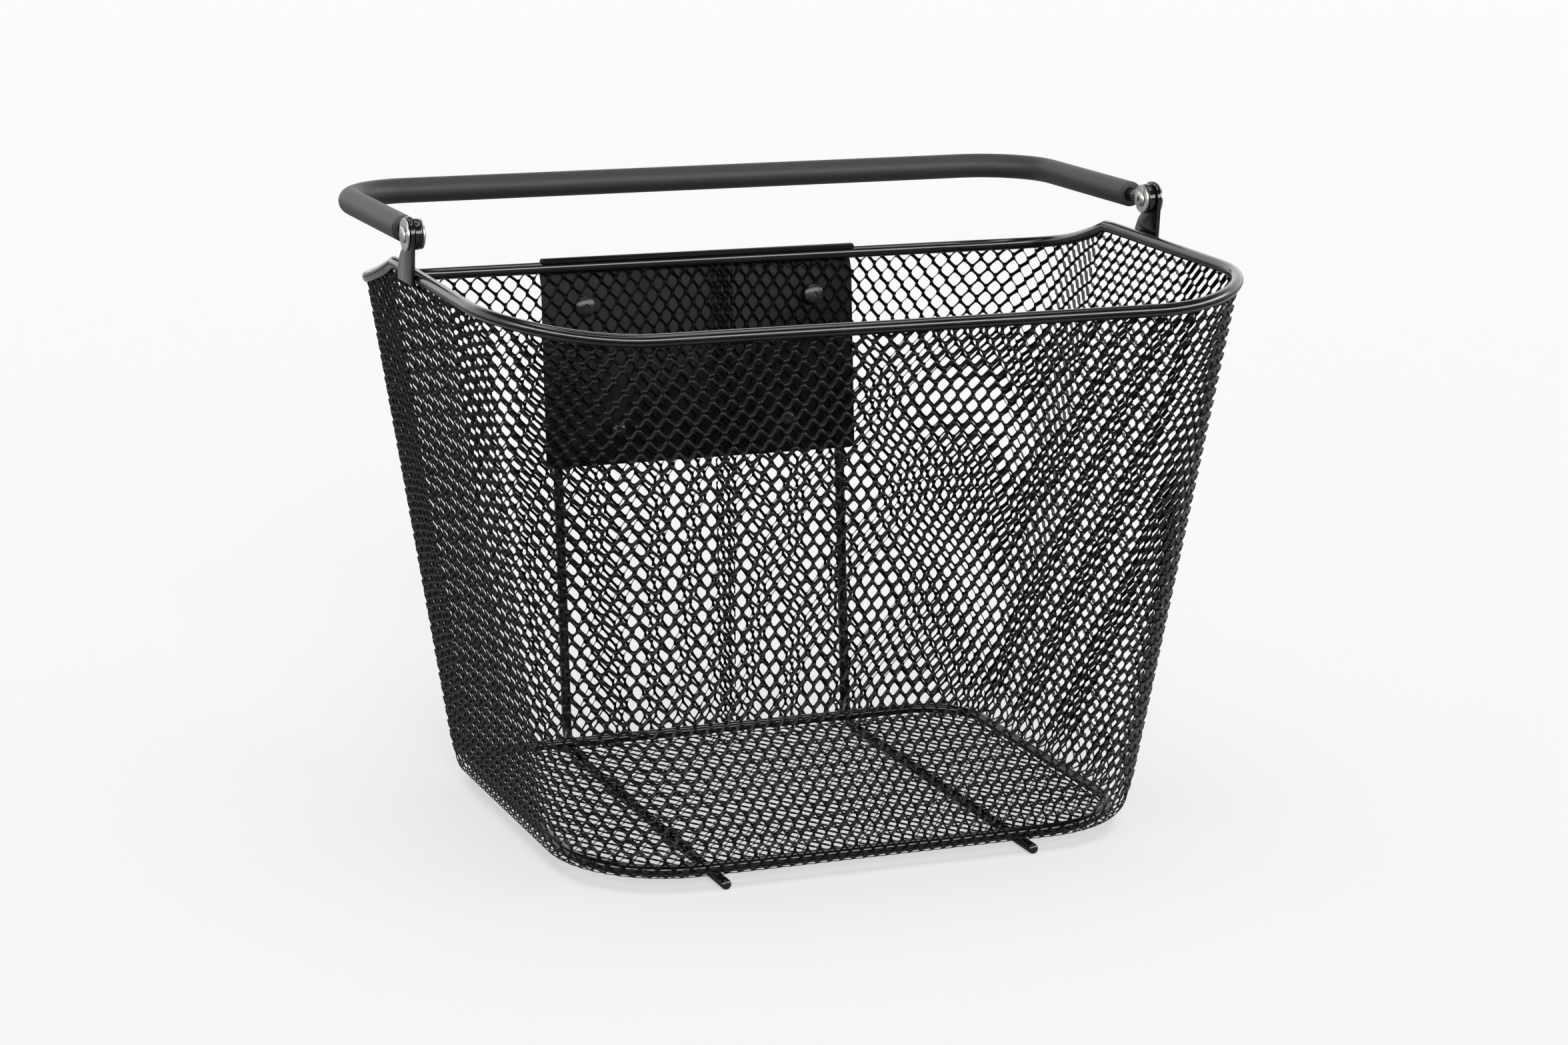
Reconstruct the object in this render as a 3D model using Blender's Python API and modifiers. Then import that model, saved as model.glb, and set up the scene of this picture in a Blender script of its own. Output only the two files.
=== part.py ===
# Bicycle handlebar basket: tapered wall and base of expanded metal on a wire frame, with a
# sheet plate and hook plate at the back for the handlebar and a foam covered folding handle.
# Metres, +Z up, +X to the basket's right, -Y to its front, +Y to the bicycle.
import itertools
import math

import bmesh
import bpy
from mathutils import Vector

# Clearances between pieces that touch, and around shanks in their holes
SEAT_GAP = 0.0003
HOLE_CLEARANCE = 0.0003

# Points nearer than this are one, and cutters are this long, which passes any stack here
MERGE = 0.00001
CUTTER_LENGTH = 0.050

# Rim wire: its centre line seen from above, its height at the front of the sides, and how far
# it drops at the front and the back and rises to its crest
RIM_HALF_WIDTH = 0.185
RIM_FRONT = 0.140
RIM_REAR = 0.140
RIM_FRONT_RADIUS = 0.065
RIM_REAR_RADIUS = 0.050
RIM_WIRE = 0.006
RIM_HEIGHT = 0.269
RIM_FRONT_DROP = 0.0075
RIM_REAR_DROP = 0.019
RIM_CREST_RISE = 0.0025
RIM_CREST_FROM_REAR = 0.092

# Base ring wire, inside the bend between wall and base
BASE_HALF_WIDTH = 0.137
BASE_FRONT = 0.103
BASE_REAR = 0.113
BASE_FRONT_RADIUS = 0.050
BASE_REAR_RADIUS = 0.030
BASE_WIRE = 0.005

# Expanded metal, drawn with a few large meshes
SHEET = 0.0012
STRAND = 0.0036
WALL_BEND_RADIUS = 0.010
WALL_BEND_ANGLE = math.radians(80)
WALL_MESH_WIDTH = 0.043
WALL_MESH_HEIGHT = 0.059
HEM_HEIGHT = 0.004
HEM_CUTS = 3
BEND_STEPS = 3
BASE_MESH_WIDTH = 0.038
BASE_MESH_LENGTH = 0.054
BASE_BORDER = 0.010
BASE_EDGE_GAP = 0.0009

# Support rods under the base and up the back
ROD_WIRE = 0.005
ROD_SPREAD = 0.077
ROD_NUB = 0.008
ROD_RISE_ON_PLATE = 0.055

# Rear plate, folded over the rim
PLATE_HALF_WIDTH = 0.084
PLATE_THICKNESS = 0.0015
PLATE_BOTTOM_FROM_RIM = 0.102
PLATE_JOG_FROM_RIM = 0.009
PLATE_HEM_ANGLE = math.radians(150)
PLATE_HEM_STEPS = 8

# Bolts: two wide apart above, two closer below
BOLT_UPPER_SPREAD = 0.062
BOLT_LOWER_SPREAD = 0.046
BOLT_UPPER_FROM_RIM = 0.0205
BOLT_LOWER_FROM_RIM = 0.084
BOLT_UPPER_SHANK = 0.005
BOLT_LOWER_SHANK = 0.004
BOLT_UPPER_HEAD = 0.0108
BOLT_LOWER_HEAD = 0.0076
BOLT_HEAD_HEIGHT = 0.0026
BOLT_HEAD_EDGE = 0.0006
BOLT_SOCKET = 0.003
BOLT_SOCKET_DEPTH = 0.0014
NUT_UPPER_FLATS = 0.008
NUT_LOWER_FLATS = 0.007
NUT_THICKNESS = 0.004

# Hook plate for the handlebar bracket
HOOK_PLATE_THICKNESS = 0.007
HOOK_PLATE_TOP_HALF_WIDTH = 0.071
HOOK_PLATE_BOTTOM_HALF_WIDTH = 0.055
HOOK_PLATE_TOP_FROM_RIM = 0.0105
HOOK_PLATE_BOTTOM_FROM_RIM = 0.095
HOOK_PLATE_CORNER = 0.006
HOOK_SPREAD = 0.036
HOOK_WIDTH = 0.014
HOOK_TOP_FROM_RIM = 0.018
HOOK_HEIGHT = 0.024
HOOK_SLOT = 0.007
HOOK_LIP = 0.0045
HOOK_ROOF = 0.007
PAD_WIDTH = 0.050
PAD_TOP_FROM_RIM = 0.026
PAD_BOTTOM_FROM_RIM = 0.068
PAD_RISE = 0.0015
CATCH_WIDTH = 0.026
CATCH_HEIGHT = 0.011
CATCH_DEPTH = 0.008
CATCH_TOP_FROM_RIM = 0.074
CATCH_EDGE = 0.002

# Handle pivots, brackets and rivets
PIVOT_BEHIND_MIDDLE = 0.007
PIVOT_ABOVE_RIM = 0.0198
BRACKET_THICKNESS = 0.002
BRACKET_TOP_RADIUS = 0.0084
BRACKET_FOOT_FRONT = 0.0062
BRACKET_FOOT_BACK = 0.0165
BRACKET_LEG_BACK = 0.0135
BRACKET_SHOULDER_BACK = 0.0108
BRACKET_SHOULDER_DROP = 0.0092
BRACKET_FLARE_HEIGHT = 0.005
EYE_DIAMETER = 0.0145
EYE_THICKNESS = 0.0036
EYE_NECK_WIDTH = 0.0085
EYE_NECK_CLEARANCE = 0.0016
EYE_NECK_OVERLAP = 0.003
RIVET_SHANK = 0.005
RIVET_HEAD = 0.0078
RIVET_HEAD_HEIGHT = 0.0013
RIVET_HEAD_EDGE = 0.0005
RIVET_BORE = 0.0024
RIVET_BORE_DEPTH = 0.004
WASHER_INNER = 0.0140
WASHER_OUTER = 0.0152
WASHER_THICKNESS = 0.001

# Handle: a wire bow in a foam sleeve
HANDLE_REACH = 0.146
HANDLE_BEND_RADIUS = 0.036
HANDLE_WIRE = 0.006
FOAM_DIAMETER = 0.0125
FOAM_START = 0.0180

# Smoothness of the modelled wires, turned pieces and rounded edges
RING_POINTS_PER_BEND = 8
WIRE_BEND_POINTS = 7
HANDLE_SIDES = 10
WIRE_SIDES = 8
FOAM_SIDES = 12
TURNED_STEPS = 16
DOME_STEPS = 3
CORNER_STEPS = 4
EDGE_STEPS = 2
HEX_SIDES = 6
SMOOTH_ANGLE = math.radians(40)

RIM_OUTLINE = (RIM_HALF_WIDTH, RIM_FRONT, RIM_REAR, RIM_FRONT_RADIUS, RIM_REAR_RADIUS)
BASE_OUTLINE = (BASE_HALF_WIDTH, BASE_FRONT, BASE_REAR, BASE_FRONT_RADIUS, BASE_REAR_RADIUS)

RIM_FRONT_HEIGHT = RIM_HEIGHT - RIM_FRONT_DROP
RIM_REAR_HEIGHT = RIM_HEIGHT - RIM_REAR_DROP
RIM_CREST_HEIGHT = RIM_HEIGHT + RIM_CREST_RISE

# Heights that stack up from the ground: rods, then the sheet, then the base ring on it
SHEET_LEVEL = ROD_WIRE + SEAT_GAP + SHEET / 2
BASE_RING_LEVEL = SHEET_LEVEL + SHEET / 2 + SEAT_GAP + BASE_WIRE / 2
BEND_LEVEL = SHEET_LEVEL + WALL_BEND_RADIUS
BEND_REACH = WALL_BEND_RADIUS * math.sin(WALL_BEND_ANGLE)
BEND_TOP = SHEET_LEVEL + WALL_BEND_RADIUS * (1 - math.cos(WALL_BEND_ANGLE))
WALL_BELOW_RIM = RIM_WIRE / 2 + SEAT_GAP

# Lean of the rear wall, and the layers on its outer face, measured from the sheet's middle
REAR_RUN = RIM_REAR - BASE_REAR - BEND_REACH
REAR_LEAN = math.atan2(REAR_RUN, RIM_REAR_HEIGHT - BEND_TOP)
PLATE_FACE = SHEET / 2 + SEAT_GAP
PLATE_BACK = PLATE_FACE + PLATE_THICKNESS
HOOK_PLATE_FACE = PLATE_BACK + SEAT_GAP
HOOK_PLATE_BACK = HOOK_PLATE_FACE + HOOK_PLATE_THICKNESS
ROD_LINE = PLATE_BACK + SEAT_GAP + ROD_WIRE / 2

# Layers across the pivot, from the rim outwards
BRACKET_FACE = RIM_HALF_WIDTH + RIM_WIRE / 2 + SEAT_GAP
BRACKET_BACK = BRACKET_FACE + BRACKET_THICKNESS
EYE_CENTRE = BRACKET_FACE - SEAT_GAP - EYE_THICKNESS / 2
EYE_FACE = EYE_CENTRE - EYE_THICKNESS / 2
INNER_WASHER_FACE = EYE_FACE - SEAT_GAP - WASHER_THICKNESS
OUTER_WASHER_BACK = BRACKET_BACK + SEAT_GAP + WASHER_THICKNESS
RIVET_INNER_SEAT = INNER_WASHER_FACE - SEAT_GAP
RIVET_OUTER_SEAT = OUTER_WASHER_BACK + SEAT_GAP
RIVET_HOLE = RIVET_SHANK / 2 + HOLE_CLEARANCE
WIRE_START = BRACKET_TOP_RADIUS + EYE_NECK_CLEARANCE

# The bow reaches furthest back, the rim furthest forward: the origin is midway between them
HANDLE_LINE = PIVOT_BEHIND_MIDDLE + HANDLE_REACH
FRONT_END = -RIM_FRONT - RIM_WIRE / 2
HOOK_END = (HOOK_PLATE_BACK + HOOK_SLOT + HOOK_LIP) * math.cos(REAR_LEAN)
HOOK_END -= (HOOK_TOP_FROM_RIM + HOOK_LIP) * math.sin(REAR_LEAN)
REAR_END = max(HANDLE_LINE + FOAM_DIAMETER / 2, RIM_REAR + HOOK_END)
MIDDLE = (FRONT_END + REAR_END) / 2

BLACK_COAT = ("black_coat", (0.012, 0.012, 0.013), 0.32, 0.0)
BLACK_SHEET = ("black_sheet", (0.016, 0.016, 0.017), 0.45, 0.0)
BLACK_BOLT = ("black_bolt", (0.02, 0.02, 0.021), 0.35, 0.6)
BLACK_PLASTIC = ("black_plastic", (0.018, 0.018, 0.019), 0.5, 0.0)
ZINC = ("zinc", (0.62, 0.62, 0.60), 0.35, 1.0)
FOAM = ("foam", (0.035, 0.035, 0.037), 0.9, 0.0)


def clear_scene():
    for item in list(bpy.data.objects):
        bpy.data.objects.remove(item, do_unlink=True)


def new_collection(name):
    collection = bpy.data.collections.new(name)
    bpy.context.scene.collection.children.link(collection)
    return collection


def coat(obj, finish):
    name, colour, roughness, metallic = finish
    material = bpy.data.materials.new(obj.name + "_" + name)
    material.use_nodes = True
    shader = material.node_tree.nodes["Principled BSDF"]
    shader.inputs["Base Color"].default_value = (*colour, 1)
    shader.inputs["Roughness"].default_value = roughness
    shader.inputs["Metallic"].default_value = metallic
    obj.data.materials.clear()
    obj.data.materials.append(material)


def add_object(name, data, parent, finish=None):
    """A named part, or a cutter when it has no finish."""
    obj = bpy.data.objects.new(name, data)
    obj.parent = parent
    if finish:
        parts.objects.link(obj)
        coat(obj, finish)
    else:
        cutters.objects.link(obj)
        obj.hide_render = True
        obj.display_type = "WIRE"
    return obj


def mesh_from(shape, name):
    mesh = bpy.data.meshes.new(name)
    bmesh.ops.recalc_face_normals(shape, faces=shape.faces[:])
    shape.to_mesh(mesh)
    shape.free()
    return mesh


def smooth(obj):
    obj.data.shade_smooth()
    obj.data.set_sharp_from_angle(angle=SMOOTH_ANGLE)


def boolean(obj, other, operation):
    modifier = obj.modifiers.new(other.name, "BOOLEAN")
    modifier.operation = operation
    modifier.object = other
    modifier.solver = "EXACT"


def curve_from(name, points, diameter, sides, cyclic=False, caps=True):
    curve = bpy.data.curves.new(name, "CURVE")
    curve.dimensions = "3D"
    curve.bevel_depth = diameter / 2
    curve.bevel_resolution = sides // 2 - 2
    curve.use_fill_caps = caps
    spline = curve.splines.new("POLY")
    spline.points.add(len(points) - 1)
    for knot, point in zip(spline.points, points):
        knot.co = (*point, 1)
    spline.use_cyclic_u = cyclic
    spline.use_smooth = True
    return curve


def solid_from_curve(obj):
    """A mesh object in place of a closed tube, for a piece that is cut or joined."""
    graph = bpy.context.evaluated_depsgraph_get()
    mesh = bpy.data.meshes.new_from_object(obj.evaluated_get(graph))
    shape = bmesh.new()
    shape.from_mesh(mesh)
    bmesh.ops.remove_doubles(shape, verts=shape.verts, dist=MERGE)
    shape.to_mesh(mesh)
    shape.free()
    solid = bpy.data.objects.new("solid", mesh)
    solid.matrix_world = obj.matrix_world.copy()
    solid.parent = obj.parent
    collection = obj.users_collection[0]
    collection.objects.link(solid)
    name = obj.name
    bpy.data.objects.remove(obj, do_unlink=True)
    solid.name = name
    return solid


def turned(name, profile, parent, finish, closed=False):
    """A turned piece about its own Z axis; the profile runs down its outer side."""
    shape = bmesh.new()
    ring = [shape.verts.new((radius, 0, height)) for radius, height in profile]
    for first, second in zip(ring, ring[1:]):
        shape.edges.new((first, second))
    if closed:
        shape.edges.new((ring[-1], ring[0]))
    mesh = bpy.data.meshes.new(name)
    shape.to_mesh(mesh)
    shape.free()
    obj = add_object(name, mesh, parent, finish)
    screw = obj.modifiers.new("turn", "SCREW")
    screw.steps = TURNED_STEPS
    screw.render_steps = TURNED_STEPS
    screw.use_merge_vertices = True
    screw.merge_threshold = MERGE
    return obj


def prism(radius, length, segments):
    """A cylinder or prism along its own Z axis, centred."""
    shape = bmesh.new()
    bmesh.ops.create_cone(
        shape, cap_ends=True, segments=segments, radius1=radius, radius2=radius, depth=length
    )
    return mesh_from(shape, "prism")


def rod_cutter(name, radius, parent, length=CUTTER_LENGTH, segments=TURNED_STEPS):
    return add_object(name, prism(radius, length, segments), parent)


def slab(name, outline, thickness, corner=0.0):
    """A flat outline in its own XY plane, with its corners rounded, raised to its thickness."""
    shape = bmesh.new()
    face = shape.faces.new([shape.verts.new((x, y, 0)) for x, y in outline])
    if corner:
        bmesh.ops.bevel(
            shape,
            geom=shape.verts[:],
            offset=corner,
            segments=CORNER_STEPS,
            profile=0.5,
            affect="VERTICES",
        )
        face = shape.faces[:][0]
    raised = bmesh.ops.extrude_face_region(shape, geom=[face])
    moved = [item for item in raised["geom"] if isinstance(item, bmesh.types.BMVert)]
    bmesh.ops.translate(shape, vec=(0, 0, thickness), verts=moved)
    return mesh_from(shape, name)


def runs(outline):
    """Lengths of half an outline: half the back, rear bend, side, front bend, half the front."""
    half_width, front, rear, front_radius, rear_radius = outline
    return (
        half_width - rear_radius,
        rear_radius * math.pi / 2,
        front + rear - front_radius - rear_radius,
        front_radius * math.pi / 2,
        half_width - front_radius,
    )


MEAN_RUNS = [(a + b) / 2 for a, b in zip(runs(RIM_OUTLINE), runs(BASE_OUTLINE))]
HALF_ROUND = sum(MEAN_RUNS)


def share_of_run(distance):
    """Which run a distance from the middle of the back falls in, and how far along it."""
    for number, length in enumerate(MEAN_RUNS):
        if distance <= length:
            return number, distance / length
        distance -= length
    return len(MEAN_RUNS) - 1, 1.0


def wrapped(turn):
    """A turn from -1 to 1, from the back round to the back; 0 is the middle of the front."""
    return (turn + 1) % 2 - 1


def outline_point(outline, turn, outset=0.0):
    """The point on an outline at this turn, moved outwards by the outset."""
    half_width, front, rear, front_radius, rear_radius = outline
    turn = wrapped(turn)
    number, share = share_of_run((1 - abs(turn)) * HALF_ROUND)
    if number == 0:
        place = Vector(((half_width - rear_radius) * share, rear + outset))
    elif number == 1:
        angle = math.pi / 2 * (1 - share)
        middle = Vector((half_width - rear_radius, rear - rear_radius))
        place = middle + Vector((math.cos(angle), math.sin(angle))) * (rear_radius + outset)
    elif number == 2:
        side = front + rear - front_radius - rear_radius
        place = Vector((half_width + outset, rear - rear_radius - side * share))
    elif number == 3:
        angle = -math.pi / 2 * share
        middle = Vector((half_width - front_radius, front_radius - front))
        place = middle + Vector((math.cos(angle), math.sin(angle))) * (front_radius + outset)
    else:
        place = Vector(((half_width - front_radius) * (1 - share), -front - outset))
    return Vector((math.copysign(place.x, turn), place.y))


def rim_height(turn):
    """The rim rises round the front bends, and falls from its crest to the low back."""
    number, share = share_of_run((1 - abs(wrapped(turn))) * HALF_ROUND)
    rear_bend, side = runs(RIM_OUTLINE)[1:3]
    crest = RIM_CREST_FROM_REAR - RIM_REAR_RADIUS
    if number == 0:
        return RIM_REAR_HEIGHT
    if number == 1:
        fall = share * rear_bend / (rear_bend + crest)
        return RIM_REAR_HEIGHT + (RIM_CREST_HEIGHT - RIM_REAR_HEIGHT) * fall**2
    if number == 2:
        along = share * side
        if along < crest:
            fall = (rear_bend + along) / (rear_bend + crest)
            return RIM_REAR_HEIGHT + (RIM_CREST_HEIGHT - RIM_REAR_HEIGHT) * fall**2
        back = (side - along) / (side - crest)
        return RIM_HEIGHT + RIM_CREST_RISE * back
    if number == 3:
        ease = share * share * (3 - 2 * share)
        return RIM_HEIGHT - RIM_FRONT_DROP * ease
    return RIM_FRONT_HEIGHT


def ring_turns():
    """Turns for the points of a ring: the ends of each run, and even steps round the bends."""
    steps = (1, RING_POINTS_PER_BEND, RING_POINTS_PER_BEND, RING_POINTS_PER_BEND, 1)
    distances = []
    start = 0.0
    for length, count in zip(MEAN_RUNS, steps):
        distances += [start + length * step / count for step in range(count)]
        start += length
    half = [1 - distance / HALF_ROUND for distance in distances] + [0.0]
    return half + [-turn for turn in reversed(half[1:-1])]


def wall_point(turn, rise):
    """The middle of the sheet: rise 0 to 1 up the wall, 0 to -1 down round the bend."""
    foot = outline_point(BASE_OUTLINE, turn, BEND_REACH)
    if rise < 0:
        angle = WALL_BEND_ANGLE * (1 + rise)
        reach = WALL_BEND_RADIUS * math.sin(angle)
        level = SHEET_LEVEL + WALL_BEND_RADIUS * (1 - math.cos(angle))
        return Vector((*outline_point(BASE_OUTLINE, turn, reach), level))
    foot = Vector((*foot, BEND_TOP))
    rim = Vector((*outline_point(RIM_OUTLINE, turn), rim_height(turn)))
    head = rim - (rim - foot).normalized() * WALL_BELOW_RIM
    return foot.lerp(head, rise)


def bolt_places():
    """Name, place on the rear wall from the rim's middle, and sizes of each bolt and nut."""
    upper = (-BOLT_UPPER_FROM_RIM, BOLT_UPPER_HEAD, BOLT_UPPER_SHANK, NUT_UPPER_FLATS)
    lower = (-BOLT_LOWER_FROM_RIM, BOLT_LOWER_HEAD, BOLT_LOWER_SHANK, NUT_LOWER_FLATS)
    for side, sign in (("left", -1), ("right", 1)):
        yield ("upper_" + side, sign * BOLT_UPPER_SPREAD, *upper)
        yield ("lower_" + side, sign * BOLT_LOWER_SPREAD, *lower)


def takes_a_bolt(centre, half_width, half_height):
    """Whether the hole for a bolt, with a strand round it, reaches the mesh about this centre."""
    for _, across, below, _, shank, _ in bolt_places():
        away_x = abs(centre.x - across) / half_width
        away_z = abs(centre.z - RIM_REAR_HEIGHT - below * math.cos(REAR_LEAN)) / half_height
        hole = shank / 2 + HOLE_CLEARANCE + STRAND / 2
        if centre.y > 0 and away_x + away_z < 1 + hole / min(half_width, half_height):
            return True
    return False


def half_meshes():
    """Half meshes along each run, so that a line of crossings falls where each bend begins."""
    return [max(1, round(2 * length / WALL_MESH_WIDTH)) for length in MEAN_RUNS]


def flat_place(steps):
    """Distance round from the middle of the front, after so many half meshes."""
    counts = half_meshes()
    if steps < 0:
        return -flat_place(-steps)
    if steps > sum(counts):
        return 2 * HALF_ROUND - flat_place(2 * sum(counts) - steps)
    distance = 0.0
    for length, count in zip(reversed(MEAN_RUNS), reversed(counts)):
        taken = min(steps, count)
        distance += length * taken / count
        steps -= taken
    return distance


def wall_panels():
    """Each flat and each bend of the sheet, with the half meshes that it starts and ends on."""
    lines = list(itertools.accumulate(reversed(half_meshes())))
    yield ("front", -lines[0], lines[0])
    names = ("front_corner_", "side_", "back_corner_")
    for name, start, end in zip(names, lines, lines[1:]):
        yield (name + "left", -end, -start)
        yield (name + "right", start, end)
    yield ("back", lines[-2], 2 * lines[-1] - lines[-2])


def edges_at(shape, level):
    return [e for e in shape.edges if all(abs(v.co.y - level) < MERGE for v in e.verts)]


def flat_diamonds(start, end, height):
    """A flat sheet of whole diamonds, which runs at least one mesh past both ends."""
    first = start - start % 2 - 2
    last = end + end % 2 + 2
    rows = max(1, round(height / WALL_MESH_HEIGHT))
    shape = bmesh.new()
    bmesh.ops.create_grid(shape, x_segments=(last - first) // 2, y_segments=rows, size=1)
    bmesh.ops.scale(shape, vec=((last - first) / 2, height / 2, 1), verts=shape.verts)
    bmesh.ops.translate(shape, vec=((last + first) / 2, height / 2, 0), verts=shape.verts)
    # Each square gives way to its diagonals, which leaves rows of staggered diamonds
    lines = [edge for edge in shape.edges if not edge.is_boundary]
    bmesh.ops.poke(shape, faces=shape.faces[:])
    bmesh.ops.dissolve_edges(shape, edges=lines)
    for vert in shape.verts:
        vert.co.x = flat_place(round(vert.co.x))
    return shape


def add_hems(shape, height):
    """Plain strips at the rim and, in steps of -1, round the bend at the base."""
    for level, steps in ((height, (HEM_HEIGHT,)), (0, (-1,) * BEND_STEPS)):
        bmesh.ops.subdivide_edges(shape, edges=edges_at(shape, level), cuts=HEM_CUTS)
        for step in steps:
            grown = bmesh.ops.extrude_edge_only(shape, edges=edges_at(shape, level))
            points = [item for item in grown["geom"] if isinstance(item, bmesh.types.BMVert)]
            bmesh.ops.translate(shape, vec=(0, step, 0), verts=points)
            level += step


def make_panel(parent, name, start, end):
    """A stretch of the expanded metal, opened and cut to length flat, then bent to the wall."""
    height = (RIM_FRONT_HEIGHT + RIM_REAR_HEIGHT) / 2 - BEND_TOP - HEM_HEIGHT
    top = height + HEM_HEIGHT
    shape = flat_diamonds(start, end, height)

    def placed(point):
        rise = point.y / top if point.y >= 0 else point.y / BEND_STEPS
        return wall_point(point.x / HALF_ROUND, rise)

    opened = [
        face
        for face in shape.faces
        if not takes_a_bolt(
            placed(face.calc_center_bounds()), WALL_MESH_WIDTH / 2, WALL_MESH_HEIGHT / 2
        )
    ]
    bmesh.ops.inset_individual(
        shape, faces=opened, thickness=STRAND / 2, use_even_offset=True
    )
    bmesh.ops.delete(shape, geom=opened, context="FACES_ONLY")
    add_hems(shape, height)
    for place, outwards in ((flat_place(start), -1), (flat_place(end), 1)):
        bmesh.ops.bisect_plane(
            shape,
            geom=shape.verts[:] + shape.edges[:] + shape.faces[:],
            plane_co=(place - outwards * SEAT_GAP / 2, 0, 0),
            plane_no=(outwards, 0, 0),
            dist=MERGE,
            clear_outer=True,
        )
    for vert in shape.verts:
        vert.co = placed(vert.co)
    panel = add_object(name, mesh_from(shape, name), parent, BLACK_COAT)
    thicken(panel, SHEET)
    return panel


def thicken(obj, thickness, offset=0.0):
    solidify = obj.modifiers.new("sheet", "SOLIDIFY")
    solidify.thickness = thickness
    solidify.offset = offset
    solidify.use_even_offset = True


def make_base(parent):
    """The flat floor inside the bend, with its edge under the base ring."""
    edge = [outline_point(BASE_OUTLINE, turn, -BASE_EDGE_GAP) for turn in ring_turns()]
    mesh = slab("base_mesh", edge, SHEET)
    base = add_object("base_mesh", mesh, parent, BLACK_COAT)
    base.location.z = SHEET_LEVEL - SHEET / 2
    edge = [outline_point(BASE_OUTLINE, turn, -BASE_BORDER) for turn in ring_turns()]
    field = add_object("base_field", slab("base_field", edge, CUTTER_LENGTH), parent)
    field.location.z = SHEET_LEVEL - CUTTER_LENGTH / 2
    openings = bmesh.new()
    columns = math.ceil(BASE_HALF_WIDTH / BASE_MESH_WIDTH) * 2
    rows = math.ceil((BASE_FRONT + BASE_REAR) / BASE_MESH_LENGTH) * 2
    for column in range(-columns, columns + 1):
        for line in range(-rows, rows + 1):
            if (column + line) % 2:
                continue
            x = column * BASE_MESH_WIDTH / 2
            y = (BASE_REAR - BASE_FRONT) / 2 + line * BASE_MESH_LENGTH / 2
            if inside_field(x, y):
                add_diamond(openings, x, y)
    cutter = add_object("base_openings", mesh_from(openings, "base_openings"), parent)
    cutter.location.z = SHEET_LEVEL
    boolean(cutter, field, "INTERSECT")
    boolean(base, cutter, "DIFFERENCE")
    return base


def inside_field(x, y):
    """Whether more than half of a diamond about this point lies inside the floor's border."""
    half_width, front, rear, front_radius, rear_radius = BASE_OUTLINE
    radius = rear_radius if y > 0 else front_radius
    past_x = abs(x) - (half_width - radius)
    past_y = abs(y) - ((rear if y > 0 else front) - radius)
    reach = math.hypot(max(past_x, 0), max(past_y, 0)) + min(max(past_x, past_y), 0)
    return reach < radius - BASE_BORDER - STRAND


def add_diamond(shape, x, y):
    """A four-sided prism, as wide and long as one opening of the floor."""
    slope = math.hypot(BASE_MESH_WIDTH, BASE_MESH_LENGTH) / BASE_MESH_LENGTH
    width = BASE_MESH_WIDTH - STRAND * slope
    made = bmesh.ops.create_cone(
        shape, cap_ends=True, segments=4, radius1=0.5, radius2=0.5, depth=CUTTER_LENGTH / 2
    )
    length = width * BASE_MESH_LENGTH / BASE_MESH_WIDTH
    bmesh.ops.scale(shape, vec=(width, length, 1), verts=made["verts"])
    bmesh.ops.translate(shape, vec=(x, y, 0), verts=made["verts"])


def make_rings(parent):
    rim = [(*outline_point(RIM_OUTLINE, turn), rim_height(turn)) for turn in ring_turns()]
    base = [(*outline_point(BASE_OUTLINE, turn), BASE_RING_LEVEL) for turn in ring_turns()]
    curve = curve_from("top_rim", rim, RIM_WIRE, HANDLE_SIDES, cyclic=True)
    add_object("top_rim", curve, parent, BLACK_COAT)
    curve = curve_from("base_ring", base, BASE_WIRE, WIRE_SIDES, cyclic=True)
    add_object("base_ring", curve, parent, BLACK_COAT)


def make_rods(parent):
    """Each rod runs under the floor, turns up round the bend and is welded to the plate."""
    turn_radius = WALL_BEND_RADIUS + SHEET / 2 + SEAT_GAP + ROD_WIRE / 2
    top_below_rim = PLATE_BOTTOM_FROM_RIM - ROD_RISE_ON_PLATE
    along = Vector((0, math.sin(REAR_LEAN), math.cos(REAR_LEAN)))
    outwards = Vector((0, math.cos(REAR_LEAN), -math.sin(REAR_LEAN)))
    rim = Vector((0, RIM_REAR, RIM_REAR_HEIGHT))
    top = rim - along * top_below_rim + outwards * ROD_LINE
    knee = rim - along * (PLATE_BOTTOM_FROM_RIM + ROD_WIRE / 2) + outwards * ROD_LINE
    middle = Vector((0, BASE_REAR, BEND_LEVEL))
    to_knee = knee - middle
    tangent = math.atan2(to_knee.z, to_knee.y) - math.acos(turn_radius / to_knee.length)
    points = [Vector((0, -BASE_FRONT - ROD_NUB, ROD_WIRE / 2))]
    for step in range(WIRE_BEND_POINTS + 1):
        angle = -math.pi / 2 + (tangent + math.pi / 2) * step / WIRE_BEND_POINTS
        points.append(middle + Vector((0, math.cos(angle), math.sin(angle))) * turn_radius)
    points += [knee, top]
    for side, sign in (("left", -1), ("right", 1)):
        name = "support_rod_" + side
        run = [point + Vector((sign * ROD_SPREAD, 0, 0)) for point in points]
        add_object(name, curve_from(name, run, ROD_WIRE, WIRE_SIDES), parent, BLACK_COAT)


def make_rear_frame(parent):
    """An empty on the rim's middle at the back: its Z runs up the leaning wall, its Y outwards."""
    frame = bpy.data.objects.new("rear_frame", None)
    frame.parent = parent
    frame.location = (0, RIM_REAR, RIM_REAR_HEIGHT)
    frame.rotation_euler.x = -REAR_LEAN
    parts.objects.link(frame)
    return frame


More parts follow.
